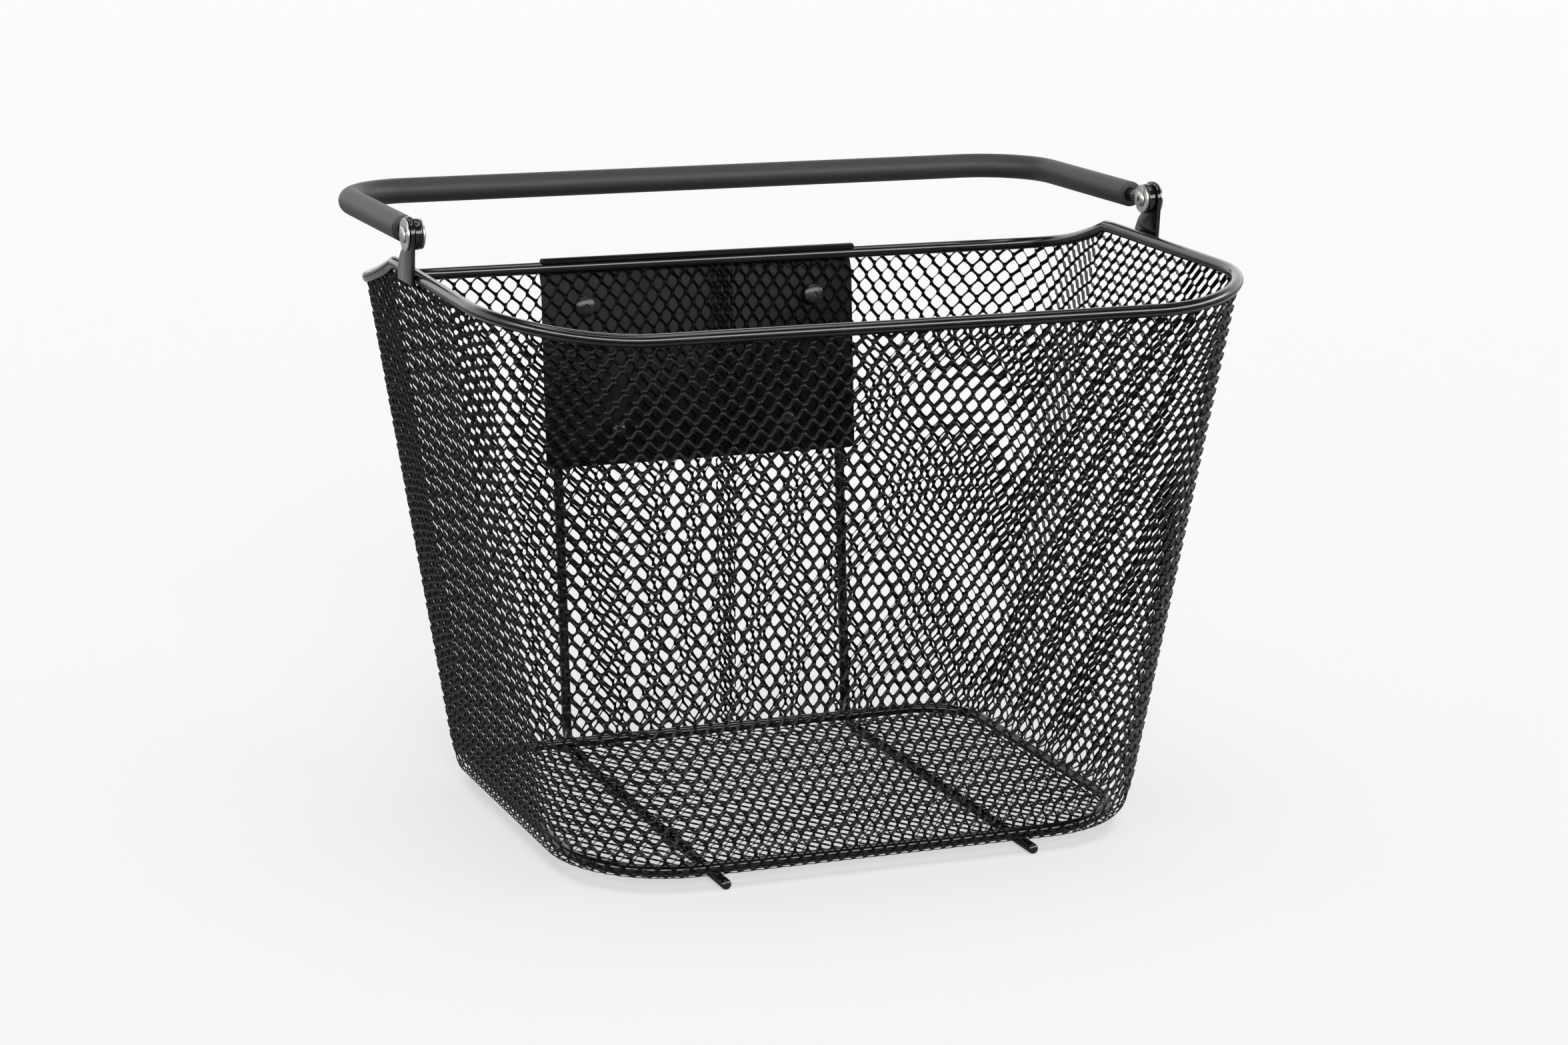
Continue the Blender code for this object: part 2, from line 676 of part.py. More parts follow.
def make_rear_plate(frame):
    """Sheet against the mesh, stepped out below the rim and folded over it."""
    middle = PLATE_FACE + PLATE_THICKNESS / 2
    hem = RIM_WIRE / 2 + SEAT_GAP + PLATE_THICKNESS / 2
    profile = [
        (middle, -PLATE_BOTTOM_FROM_RIM),
        (middle, -PLATE_JOG_FROM_RIM),
        (hem, -RIM_WIRE / 2),
    ]
    for step in range(PLATE_HEM_STEPS + 1):
        angle = PLATE_HEM_ANGLE * step / PLATE_HEM_STEPS
        profile.append((hem * math.cos(angle), hem * math.sin(angle)))
    shape = bmesh.new()
    line = [shape.verts.new((-PLATE_HALF_WIDTH, y, z)) for y, z in profile]
    edges = [shape.edges.new(pair) for pair in zip(line, line[1:])]
    grown = bmesh.ops.extrude_edge_only(shape, edges=edges)
    moved = [item for item in grown["geom"] if isinstance(item, bmesh.types.BMVert)]
    bmesh.ops.translate(shape, vec=(2 * PLATE_HALF_WIDTH, 0, 0), verts=moved)
    plate = add_object("rear_plate", mesh_from(shape, "rear_plate"), frame, BLACK_SHEET)
    thicken(plate, PLATE_THICKNESS)
    return plate


def box_between(shape, low, high):
    made = bmesh.ops.create_cube(shape, size=1)
    low, high = Vector(low), Vector(high)
    bmesh.ops.scale(shape, vec=high - low, verts=made["verts"])
    bmesh.ops.translate(shape, vec=(low + high) / 2, verts=made["verts"])


def make_hook(frame, side, sign):
    """A downward hook with a slot between its lip and the plate."""
    back = HOOK_PLATE_BACK
    top = -HOOK_TOP_FROM_RIM
    bottom = top - HOOK_HEIGHT
    outline = (
        (back - SHEET, top - HOOK_ROOF),
        (back + HOOK_SLOT, top - HOOK_ROOF),
        (back + HOOK_SLOT, bottom),
        (back + HOOK_SLOT + HOOK_LIP, bottom),
        (back + HOOK_SLOT + HOOK_LIP, top - HOOK_LIP),
        (back + HOOK_SLOT, top),
        (back - SHEET, top),
    )
    name = "hook_" + side
    hook = add_object(name, slab(name, outline, HOOK_WIDTH), frame)
    # The outline lies across the plate: its X runs outwards and its Y up
    hook.rotation_euler = (math.pi / 2, 0, math.pi / 2)
    hook.location.x = sign * HOOK_SPREAD - HOOK_WIDTH / 2
    return hook


def make_pad(frame):
    """A raised flat that bears on the bracket, clear of the hooks."""
    shape = bmesh.new()
    low = (-PAD_WIDTH / 2, HOOK_PLATE_BACK - SHEET, -PAD_BOTTOM_FROM_RIM)
    high = (PAD_WIDTH / 2, HOOK_PLATE_BACK + PAD_RISE, -PAD_TOP_FROM_RIM)
    box_between(shape, low, high)
    return add_object("contact_pad", mesh_from(shape, "contact_pad"), frame)


def make_catch(frame):
    shape = bmesh.new()
    box_between(
        shape,
        (-CATCH_WIDTH / 2, HOOK_PLATE_BACK - SHEET, -CATCH_TOP_FROM_RIM - CATCH_HEIGHT),
        (CATCH_WIDTH / 2, HOOK_PLATE_BACK + CATCH_DEPTH, -CATCH_TOP_FROM_RIM),
    )
    outer = HOOK_PLATE_BACK + CATCH_DEPTH
    edges = [e for e in shape.edges if all(abs(v.co.y - outer) < SEAT_GAP for v in e.verts)]
    bmesh.ops.bevel(
        shape,
        geom=edges,
        offset=CATCH_EDGE,
        segments=EDGE_STEPS,
        profile=0.5,
        affect="EDGES",
        material=-1,
    )
    return add_object("catch", mesh_from(shape, "catch"), frame)


def make_hook_plate(frame):
    top, bottom = -HOOK_PLATE_TOP_FROM_RIM, -HOOK_PLATE_BOTTOM_FROM_RIM
    outline = (
        (-HOOK_PLATE_BOTTOM_HALF_WIDTH, bottom),
        (HOOK_PLATE_BOTTOM_HALF_WIDTH, bottom),
        (HOOK_PLATE_TOP_HALF_WIDTH, top),
        (-HOOK_PLATE_TOP_HALF_WIDTH, top),
    )
    mesh = slab("hook_plate", outline, HOOK_PLATE_THICKNESS, HOOK_PLATE_CORNER)
    plate = add_object("hook_plate", mesh, frame, BLACK_PLASTIC)
    # The slab rises along its own Z, which is turned to point inwards from the back face
    plate.rotation_euler.x = math.pi / 2
    plate.location.y = HOOK_PLATE_BACK
    for side, sign in (("left", -1), ("right", 1)):
        boolean(plate, make_hook(frame, side, sign), "UNION")
    boolean(plate, make_pad(frame), "UNION")
    boolean(plate, make_catch(frame), "UNION")
    return plate


def hex_radius(across_flats):
    return across_flats / 2 / math.cos(math.pi / 6)


def make_bolts(frame, drilled, hook_plate):
    """Button head bolts from inside, and nuts sunk in the back of the hook plate."""
    seat = -SHEET / 2 - SEAT_GAP
    length = HOOK_PLATE_BACK - seat
    pocket_depth = NUT_THICKNESS + 2 * SEAT_GAP
    for place, across, below, head, shank, flats in bolt_places():

        def across_wall(obj, outwards):
            obj.location = (across, outwards, below)
            obj.rotation_euler.x = math.pi / 2

        bolt = turned("plate_bolt_" + place, bolt_profile(head, shank, length), frame, BLACK_BOLT)
        across_wall(bolt, seat)
        socket_radius = hex_radius(BOLT_SOCKET)
        depth = 2 * BOLT_SOCKET_DEPTH
        socket = rod_cutter("socket_" + place, socket_radius, frame, depth, HEX_SIDES)
        across_wall(socket, seat - BOLT_HEAD_HEIGHT)
        boolean(bolt, socket, "DIFFERENCE")
        hole_radius = shank / 2 + HOLE_CLEARANCE
        hole = rod_cutter("bolt_hole_" + place, hole_radius, frame)
        across_wall(hole, 0)
        for piece in drilled:
            boolean(piece, hole, "DIFFERENCE")
        pocket_radius = hex_radius(flats) + SEAT_GAP
        depth = 2 * pocket_depth
        pocket = rod_cutter("nut_pocket_" + place, pocket_radius, frame, depth, HEX_SIDES)
        across_wall(pocket, HOOK_PLATE_BACK)
        boolean(hook_plate, pocket, "DIFFERENCE")
        nut_mesh = prism(hex_radius(flats), NUT_THICKNESS, HEX_SIDES)
        nut = add_object("plate_nut_" + place, nut_mesh, frame, ZINC)
        across_wall(nut, HOOK_PLATE_BACK - SEAT_GAP - NUT_THICKNESS / 2)
        boolean(nut, hole, "DIFFERENCE")


def dome(radius, height, edge):
    """Points down a rounded head, from its middle to the top of its rim."""
    angles = [math.pi / 2 * step / DOME_STEPS for step in range(DOME_STEPS + 1)]
    return [(radius * math.sin(a), edge + (height - edge) * math.cos(a)) for a in angles]


def bolt_profile(head, shank, length):
    """A button head above its seat and a shank below, down the outer side."""
    below = [(head / 2, 0), (shank / 2, 0), (shank / 2, -length), (0, -length)]
    return dome(head / 2, BOLT_HEAD_HEIGHT, BOLT_HEAD_EDGE) + below


def bracket_outline():
    """Round top about the pivot, shoulder and flared foot behind; X to the back, Y up."""
    foot = -PIVOT_ABOVE_RIM - RIM_WIRE / 2
    flare = foot + RIM_WIRE + BRACKET_FLARE_HEIGHT
    outline = [
        (-BRACKET_FOOT_FRONT, foot),
        (BRACKET_FOOT_BACK, foot),
        (BRACKET_FOOT_BACK, foot + RIM_WIRE),
        (BRACKET_LEG_BACK, flare),
        (BRACKET_SHOULDER_BACK, -BRACKET_SHOULDER_DROP),
    ]
    steps = 2 * WIRE_BEND_POINTS
    start = -math.pi / 4
    for step in range(steps + 1):
        angle = start + (math.pi - start) * step / steps
        place = (BRACKET_TOP_RADIUS * math.cos(angle), BRACKET_TOP_RADIUS * math.sin(angle))
        outline.append(place)
    return outline


def make_bracket(parent, pivot, side, sign):
    """Pressed strip welded to the outside of the rim."""
    name = "handle_bracket_" + side
    mesh = slab(name, bracket_outline(), BRACKET_THICKNESS)
    bracket = add_object(name, mesh, parent, BLACK_COAT)
    bracket.rotation_euler = (math.pi / 2, 0, math.pi / 2)
    bracket.location = pivot.location
    bracket.location.x = BRACKET_FACE if sign > 0 else -BRACKET_BACK
    return bracket


def turn_at_side(y):
    """The turn at which the straight side of the rim passes a given depth."""
    side = runs(RIM_OUTLINE)[2]
    share = (RIM_REAR - RIM_REAR_RADIUS - y) / side
    return 1 - (MEAN_RUNS[0] + MEAN_RUNS[1] + MEAN_RUNS[2] * share) / HALF_ROUND


def washer_profile(diameter):
    return (
        (RIVET_HOLE, WASHER_THICKNESS),
        (diameter / 2, WASHER_THICKNESS),
        (diameter / 2, 0),
        (RIVET_HOLE, 0),
    )


def rivet_profile():
    """A tubular rivet: domed outer head, shank, and an inner head rolled out from its bore."""
    length = RIVET_OUTER_SEAT - RIVET_INNER_SEAT
    half_head, half_shank, bore = RIVET_HEAD / 2, RIVET_SHANK / 2, RIVET_BORE / 2
    points = dome(half_head, RIVET_HEAD_HEIGHT, RIVET_HEAD_EDGE)
    points += [(half_head, 0), (half_shank, 0), (half_shank, -length)]
    for step in range(DOME_STEPS + 1):
        angle = math.pi / 2 * step / DOME_STEPS
        across = bore + (half_head - bore) * math.cos(angle)
        points.append((across, -length - RIVET_HEAD_HEIGHT * math.sin(angle)))
    end = -length - RIVET_HEAD_HEIGHT + RIVET_BORE_DEPTH
    return points + [(bore, end), (0, end)]


def make_pivot(parent, pivot, side, sign):
    """Bracket, rivet and the washers on both sides of bracket and eye."""
    bracket = make_bracket(parent, pivot, side, sign)
    hole = rod_cutter("rivet_hole_" + side, RIVET_HOLE, parent)
    hole.location = (sign * BRACKET_FACE, *pivot.location[1:])
    hole.rotation_euler.y = math.pi / 2
    boolean(bracket, hole, "DIFFERENCE")
    outwards = sign * math.pi / 2
    placed = (
        ("pivot_rivet_" + side, rivet_profile(), RIVET_OUTER_SEAT, False),
        ("pivot_washer_inner_" + side, washer_profile(WASHER_INNER), INNER_WASHER_FACE, True),
        (
            "pivot_washer_outer_" + side,
            washer_profile(WASHER_OUTER),
            BRACKET_BACK + SEAT_GAP,
            True,
        ),
    )
    for name, profile, distance, closed in placed:
        piece = turned(name, profile, parent, ZINC, closed)
        piece.location = (sign * distance, *pivot.location[1:])
        piece.rotation_euler.y = outwards
    return hole


def bow_points(start):
    """Half the bow from one arm to its middle, in the pivot's frame, then mirrored."""
    reach, radius = HANDLE_REACH, HANDLE_BEND_RADIUS
    half = [Vector((EYE_CENTRE, start, 0))]
    for step in range(WIRE_BEND_POINTS + 1):
        angle = math.pi / 2 * step / WIRE_BEND_POINTS
        across = EYE_CENTRE - radius * (1 - math.cos(angle))
        half.append(Vector((across, reach - radius * (1 - math.sin(angle)), 0)))
    return half + [Vector((-point.x, point.y, 0)) for point in reversed(half)]


def eye_outline():
    """A round eye about the pivot with a flat neck that runs into the wire."""
    radius, half_neck = EYE_DIAMETER / 2, EYE_NECK_WIDTH / 2
    opening = math.asin(half_neck / radius)
    neck_end = WIRE_START + EYE_NECK_OVERLAP
    outline = [(neck_end, -half_neck), (neck_end, half_neck)]
    for step in range(TURNED_STEPS + 1):
        angle = opening + (2 * math.pi - 2 * opening) * step / TURNED_STEPS
        outline.append((radius * math.cos(angle), radius * math.sin(angle)))
    return outline


def make_handle(pivot, holes):
    """The bow's parent is the empty on the pivot axis; its ends are flattened to eyes."""
    curve = curve_from("handle_rod", bow_points(WIRE_START), HANDLE_WIRE, HANDLE_SIDES)
    bow = add_object("handle_rod", curve, pivot, BLACK_COAT)
    bpy.context.view_layer.update()
    bow = solid_from_curve(bow)
    bow.matrix_world = pivot.matrix_world.copy()
    coat(bow, BLACK_COAT)
    for (side, sign), hole in zip((("left", -1), ("right", 1)), holes):
        eye = add_object("eye_" + side, slab("eye", eye_outline(), EYE_THICKNESS), pivot)
        eye.rotation_euler = (math.pi / 2, 0, math.pi / 2)
        eye.location.x = sign * EYE_CENTRE - EYE_THICKNESS / 2
        boolean(bow, eye, "UNION")
        boolean(bow, hole, "DIFFERENCE")
    smooth(bow)
    sleeve = bow_points(FOAM_START)
    curve = curve_from("foam_grip", sleeve, FOAM_DIAMETER, FOAM_SIDES, caps=False)
    grip = add_object("foam_grip", curve, pivot, FOAM)
    wall = (FOAM_DIAMETER - HANDLE_WIRE) / 2 - SEAT_GAP
    thicken(grip, wall, -1.0)


def build():
    origin = bpy.data.objects.new("basket_origin", None)
    origin.location = (0, -MIDDLE, 0)
    parts.objects.link(origin)
    panels = {}
    for name, start, end in wall_panels():
        panels[name] = make_panel(origin, "wall_mesh_" + name, start, end)
    make_base(origin)
    make_rings(origin)
    make_rods(origin)
    frame = make_rear_frame(origin)
    rear_plate = make_rear_plate(frame)
    hook_plate = make_hook_plate(frame)
    make_bolts(frame, (panels["back"], rear_plate, hook_plate), hook_plate)
    pivot = bpy.data.objects.new("handle_pivot", None)
    pivot.parent = origin
    pivot_height = rim_height(turn_at_side(PIVOT_BEHIND_MIDDLE)) + PIVOT_ABOVE_RIM
    pivot.location = (0, PIVOT_BEHIND_MIDDLE, pivot_height)
    parts.objects.link(pivot)
    holes = [make_pivot(origin, pivot, side, sign) for side, sign in (("left", -1), ("right", 1))]
    make_handle(pivot, holes)


clear_scene()
parts = new_collection("handlebar_basket")
cutters = new_collection("cutters")
build()
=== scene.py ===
# Handlebar basket of black expanded metal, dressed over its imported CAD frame
from bisect import bisect
from itertools import accumulate
from math import acos, atan2, ceil, copysign, cos, hypot, pi, radians, sin, sqrt

import bmesh
import bpy
from mathutils import Matrix, Vector


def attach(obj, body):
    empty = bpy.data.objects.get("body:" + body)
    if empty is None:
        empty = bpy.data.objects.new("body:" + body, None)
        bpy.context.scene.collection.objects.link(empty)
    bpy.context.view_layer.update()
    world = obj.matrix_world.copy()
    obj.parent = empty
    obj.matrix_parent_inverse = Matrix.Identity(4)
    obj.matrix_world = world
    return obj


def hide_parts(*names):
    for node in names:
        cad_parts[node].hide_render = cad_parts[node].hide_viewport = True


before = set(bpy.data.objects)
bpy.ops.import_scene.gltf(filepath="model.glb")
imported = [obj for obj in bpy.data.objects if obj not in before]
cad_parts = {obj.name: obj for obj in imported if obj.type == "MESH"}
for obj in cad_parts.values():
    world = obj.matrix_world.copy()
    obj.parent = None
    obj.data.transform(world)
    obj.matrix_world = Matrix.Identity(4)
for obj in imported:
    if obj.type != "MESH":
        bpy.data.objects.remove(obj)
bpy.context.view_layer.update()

merge = 0.00001      # points nearer than this are one
seat = 0.0003        # gap between pieces that touch
quarter = pi / 2
white = (1, 1, 1, 1)
bothSides = (("left", -1), ("right", 1))
print("frame loaded:", len(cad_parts), "nodes")

studio = dict(
    azimuth=-21.25,          # degrees round from the front
    elevation=12.76,
    roll=0.337,
    distance=1.7774,
    target=(-0.00674, -0.00703, 0.14278),
    lens=84.73,
    farthest=100,
    floorColour=0.46,        # as the camera sees it, with the glow below
    floorGlow=0.515,
    floorBounce=0.18,        # as it lights the basket from below
    floorMirrored=0.46,      # as shiny surfaces see it
    floorRoughness=0.8,
    floorSpecular=0.1,
    floorReach=14.0,
    floorDrop=0.0002,
    backdrop=0.90,
    sky=0.36,                # the even light from all round
    mirroredTop=0.12,        # what shiny surfaces see overhead, and low down in front and behind
    mirroredRound=(0.03, 1.4),
    towardsBehind=(-0.35, 0.55),
    towardsTop=(0.45, 0.7),
    strips=(                 # and long lights: strength, heights of both edges, and where it ends
        (8.0, (0.12, 0.24, 0.40, 0.54), (-0.1, 0.3)),
        (3.6, (0.88, 0.92, 0.945, 0.97), None),
    ),
    lamps={                  # strength, softness in degrees, and the way it is turned
        "overhead": (1.0, 70, (8, 4, 0)),
        "frontal": (1.6, 30, (65, 0, -12)),
    },
)


def newObject(name, data):
    made = bpy.data.objects.new(name, data)
    bpy.context.scene.collection.objects.link(made)
    return made


def makeCamera():
    turn, lift = radians(studio["azimuth"]), radians(studio["elevation"])
    back = Vector((sin(turn) * cos(lift), -cos(turn) * cos(lift), sin(lift)))
    right = Vector((cos(turn), sin(turn), 0))
    axes = Matrix((right, back.cross(right), back)).transposed().to_4x4()
    place = Vector(studio["target"]) + back * studio["distance"]
    lens = bpy.data.cameras.new("camera")
    setAll(lens, lens=studio["lens"], clip_end=studio["farthest"])
    camera = newObject("camera", lens)
    roll = Matrix.Rotation(radians(studio["roll"]), 4, "Z")
    camera.matrix_world = Matrix.Translation(place) @ axes @ roll
    bpy.context.scene.camera = camera


def makeLamp(name, strength, softness, turn):
    lamp = setAll(bpy.data.lights.new(name, "SUN"), energy=strength, angle=radians(softness))
    setAll(newObject(name, lamp), rotation_euler=[radians(angle) for angle in turn],
           visible_glossy=False)


def setAll(thing, **settings):
    for name, value in settings.items():
        setattr(thing, name, value)
    return thing


def setInputs(node, inputs):
    # each input takes a plain value or another node's output
    for name, source in inputs.items():
        if isinstance(source, bpy.types.NodeSocket):
            node.id_data.links.new(source, node.inputs[name])
        else:
            node.inputs[name].default_value = source


def addNode(tree, kind, inputs=None, **settings):
    node = setAll(tree.nodes.new("ShaderNode" + kind), **settings)
    setInputs(node, inputs or {})
    return node


def ramp(tree, source, start, end, low=0.0, high=1.0):
    # a smooth step from low to high, as source goes from start to end
    inputs = {"Value": source, "From Min": start, "From Max": end, "To Min": low, "To Max": high}
    return addNode(tree, "MapRange", inputs, interpolation_type="SMOOTHSTEP").outputs["Result"]


def join(tree, operation, first, second):
    return addNode(tree, "Math", {0: first, 1: second}, operation=operation).outputs[0]


def makeSky():
    # an even light; shiny surfaces see a studio, bright behind, and dark in front but for strips
    world = bpy.data.worlds.new("sky")
    world.use_nodes = True
    tree = world.node_tree
    way = addNode(tree, "SeparateXYZ", {0: addNode(tree, "TexCoord").outputs["Generated"]})
    depth, height = way.outputs["Y"], way.outputs["Z"]
    blend = addNode(tree, "Mix", {
        "Factor": ramp(tree, height, *studio["towardsTop"]),
        "A": ramp(tree, depth, *studio["towardsBehind"], *studio["mirroredRound"]),
        "B": studio["mirroredTop"],
    })
    mirrored = blend.outputs["Result"]
    for strength, (bottom, full, fade, end), ahead in studio["strips"]:
        fall = ramp(tree, height, fade, end, strength, 0.0)
        strip = join(tree, "MULTIPLY", ramp(tree, height, bottom, full), fall)
        if ahead:
            strip = join(tree, "MULTIPLY", strip, ramp(tree, depth, *ahead, 1.0, 0.0))
        mirrored = join(tree, "ADD", mirrored, strip)
    rays = addNode(tree, "LightPath").outputs
    lit = tree.nodes["Background"]
    setInputs(lit, {"Color": white, "Strength": studio["sky"]})
    for kind, strength in (("Is Glossy Ray", mirrored), ("Is Camera Ray", studio["backdrop"])):
        shown = addNode(tree, "Background", {"Color": white, "Strength": strength})
        inputs = {"Fac": rays[kind], 1: lit.outputs[0], 2: shown.outputs[0]}
        lit = addNode(tree, "MixShader", inputs)
    setInputs(tree.nodes["World Output"], {"Surface": lit.outputs[0]})
    bpy.context.scene.world = world


def makeFloor():
    shape = bmesh.new()
    bmesh.ops.create_grid(shape, x_segments=1, y_segments=1, size=studio["floorReach"])
    bmesh.ops.translate(shape, vec=(0, 0, -studio["floorDrop"]), verts=shape.verts)
    floor = makeObject("floor", shape)
    material = bpy.data.materials.new("floor")
    material.use_nodes = True
    tree = material.node_tree
    rays = addNode(tree, "LightPath").outputs

    def byRay(kind, low, high):
        return ramp(tree, rays["Is %s Ray" % kind], 0.0, 1.0, low, high)

    seen = byRay("Camera", studio["floorBounce"], studio["floorColour"])
    mirrored = byRay("Glossy", 0.0, studio["floorMirrored"] - studio["floorBounce"])
    setInputs(tree.nodes["Principled BSDF"], {
        "Base Color": join(tree, "ADD", seen, mirrored),
        "Emission Color": white,
        "Emission Strength": byRay("Camera", 0.0, studio["floorGlow"]),
        "Roughness": studio["floorRoughness"],
        "Specular IOR Level": studio["floorSpecular"],
    })
    floor.data.materials.append(material)


def makeObject(name, shape, place=None):
    bmesh.ops.recalc_face_normals(shape, faces=shape.faces[:])
    mesh = bpy.data.meshes.new(name)
    shape.to_mesh(mesh)
    shape.free()
    if place:
        mesh.transform(place)
    mesh.update()
    return newObject(name, mesh)


def dress(piece, angle, look, node, body="basket"):
    # smooth but at edges sharper than the angle, in its finish, and in the place of its node
    piece.data.shade_smooth()
    piece.data.set_sharp_from_angle(angle=radians(angle))
    piece.data.materials.clear()
    piece.data.materials.append(finish[look])
    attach(piece, body)
    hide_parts(node)


def applyModifiers(piece):
    graph = bpy.context.evaluated_depsgraph_get()
    made = bpy.data.meshes.new_from_object(piece.evaluated_get(graph))
    old = piece.data
    piece.modifiers.clear()
    piece.data = made
    bpy.data.meshes.remove(old)


def combine(piece, others, operation):
    for other in others:
        cut = piece.modifiers.new(other.name, "BOOLEAN")
        setAll(cut, operation=operation, object=other, solver="EXACT")
    applyModifiers(piece)
    for other in others:
        bpy.data.objects.remove(other, do_unlink=True)


def softenEdges(piece, width, segments=2, angle=35):
    setAll(piece.modifiers.new("edges", "BEVEL"), width=width, segments=segments,
           limit_method="ANGLE", angle_limit=radians(angle), use_clamp_overlap=True)
    applyModifiers(piece)


def tubeAlong(name, points, diameter, sides, closed=False):
    curve = setAll(bpy.data.curves.new(name, "CURVE"), dimensions="3D", twist_mode="Z_UP",
                   bevel_depth=diameter / 2, bevel_resolution=sides // 2 - 2)
    spline = curve.splines.new("POLY")
    spline.points.add(len(points) - 1)
    for knot, point in zip(spline.points, points):
        knot.co = (*point, 1)
    spline.use_cyclic_u = closed
    path = newObject(name, curve)
    evaluated = path.evaluated_get(bpy.context.evaluated_depsgraph_get())
    shape = bmesh.new()
    shape.from_mesh(evaluated.to_mesh())
    evaluated.to_mesh_clear()
    bpy.data.objects.remove(path, do_unlink=True)
    bmesh.ops.remove_doubles(shape, verts=shape.verts, dist=merge)
    # each end is closed with a single face, by which endsOf finds it
    bmesh.ops.holes_fill(shape, edges=[edge for edge in shape.edges if edge.is_boundary], sides=0)
    bmesh.ops.recalc_face_normals(shape, faces=shape.faces[:])
    return shape


def endsOf(tube):
    return [face for face in tube.faces if len(face.verts) > 4]


def only(kind, made):
    return [item for item in made["geom"] if isinstance(item, kind)]


def arc(radius, start, end, steps):
    angles = [start + (end - start) * step / steps for step in range(steps + 1)]
    return [(radius * cos(angle), radius * sin(angle)) for angle in angles]


def turnedShape(profile, steps):
    # profile runs (radius, height), turned about Z
    shape = bmesh.new()
    line = [shape.verts.new((radius, 0, height)) for radius, height in profile]
    edges = [shape.edges.new(pair) for pair in zip(line, line[1:])]
    bmesh.ops.spin(shape, geom=line + edges, cent=(0, 0, 0), axis=(0, 0, 1),
                   angle=2 * pi, steps=steps, use_merge=True)
    bmesh.ops.remove_doubles(shape, verts=shape.verts, dist=merge)
    return shape


def roundCorners(shape, corners, size, segments):
    bmesh.ops.bevel(shape, geom=corners, offset=size, segments=segments, profile=0.5,
                    affect="VERTICES", material=-1)


def raiseFaces(shape, height):
    raised = bmesh.ops.extrude_face_region(shape, geom=shape.faces[:])
    bmesh.ops.translate(shape, vec=(0, 0, height), verts=only(bmesh.types.BMVert, raised))


def plateShape(outline, thickness, corner=None):
    shape = bmesh.new()
    shape.faces.new([shape.verts.new((x, y, 0)) for x, y in outline])
    if corner:
        roundCorners(shape, shape.verts[:], corner, 8)
    raiseFaces(shape, thickness)
    return shape


def boxShape(low, high):
    shape = bmesh.new()
    bmesh.ops.create_cube(shape, size=1)
    low, high = Vector(low), Vector(high)
    bmesh.ops.scale(shape, vec=high - low, verts=shape.verts)
    bmesh.ops.translate(shape, vec=(low + high) / 2, verts=shape.verts)
    return shape


def prismShape(radius, length, segments=6):
    shape = bmesh.new()
    bmesh.ops.create_cone(shape, cap_ends=True, segments=segments, radius1=radius,
                          radius2=radius, depth=length)
    return shape


def quarterTurn(axis, sign=1):
    return Matrix.Rotation(sign * quarter, 4, axis)


def makeGroup(fill, *gives):
    # a shared effect: it takes a place and a fineness, and gives a height and how much of something
    group = bpy.data.node_groups.new(fill.__name__, "ShaderNodeTree")
    group.interface.new_socket("Vector", in_out="INPUT", socket_type="NodeSocketVector")
    group.interface.new_socket("Fineness", in_out="INPUT", socket_type="NodeSocketFloat")
    for name in gives:
        group.interface.new_socket(name, in_out="OUTPUT", socket_type="NodeSocketFloat")
    start = group.nodes.new("NodeGroupInput")
    made = fill(group, start.outputs["Vector"], start.outputs["Fineness"])
    setInputs(group.nodes.new("NodeGroupOutput"), dict(zip(gives, made)))
    return group


def fadeIn(group, source, start, end):
    inputs = {"Value": source, "From Min": start, "From Max": end}
    return addNode(group, "MapRange", inputs).outputs["Result"]


def overlay(group, source, share, under):
    inputs = {0: source, 1: share, 2: under}
    return addNode(group, "Math", inputs, operation="MULTIPLY_ADD").outputs[0]


def noise(group, place, scale, **inputs):
    return addNode(group, "TexNoise", {"Vector": place, "Scale": scale, **inputs}).outputs["Fac"]


def sprayedCoat(group, place, fineness):
    # a fine orange peel over slow waves, and where dust has settled
    peel = noise(group, place, fineness, Detail=3)
    dust = noise(group, place, 45, Detail=6, Roughness=0.7)
    return overlay(group, noise(group, place, 90), 0.6, peel), fadeIn(group, dust, 0.42, 0.72)


def rubbedMetal(group, place, fineness):
    # drawn metal: streaks that run one way, crossed by a few blotches
    turned = addNode(group, "Mapping", {"Vector": place, "Scale": (1.0, 0.08, 1.0)})
    stain = noise(group, place, 260, Detail=5)
    streaks = noise(group, turned.outputs["Vector"], fineness, Detail=4)
    return streaks, fadeIn(group, stain, 0.35, 0.7)


def foamPoresAndShade(group, place, fineness):
    # open pores in a skinless foam, under a finer grain; the pore hollows are also coloured darker,
    # which is painted shade
    pores = addNode(group, "TexVoronoi", {"Vector": place, "Scale": fineness})
    poreShadeMask = fadeIn(group, pores.outputs["Distance"], 0.05, 0.45)
    return overlay(group, noise(group, place, 900, Detail=4), 0.7, poreShadeMask), poreShadeMask


groups = {
    "sprayedCoat": makeGroup(sprayedCoat, "Height", "Dust"),
    "rubbedMetal": makeGroup(rubbedMetal, "Streaks", "Stain"),
    "foamPoresAndShade": makeGroup(foamPoresAndShade, "Height", "PoreShade"),
}
usualLook = dict(metallic=0.0, specular=0.5, relief=0.00002, coat=0.0, coatRoughness=0.12)
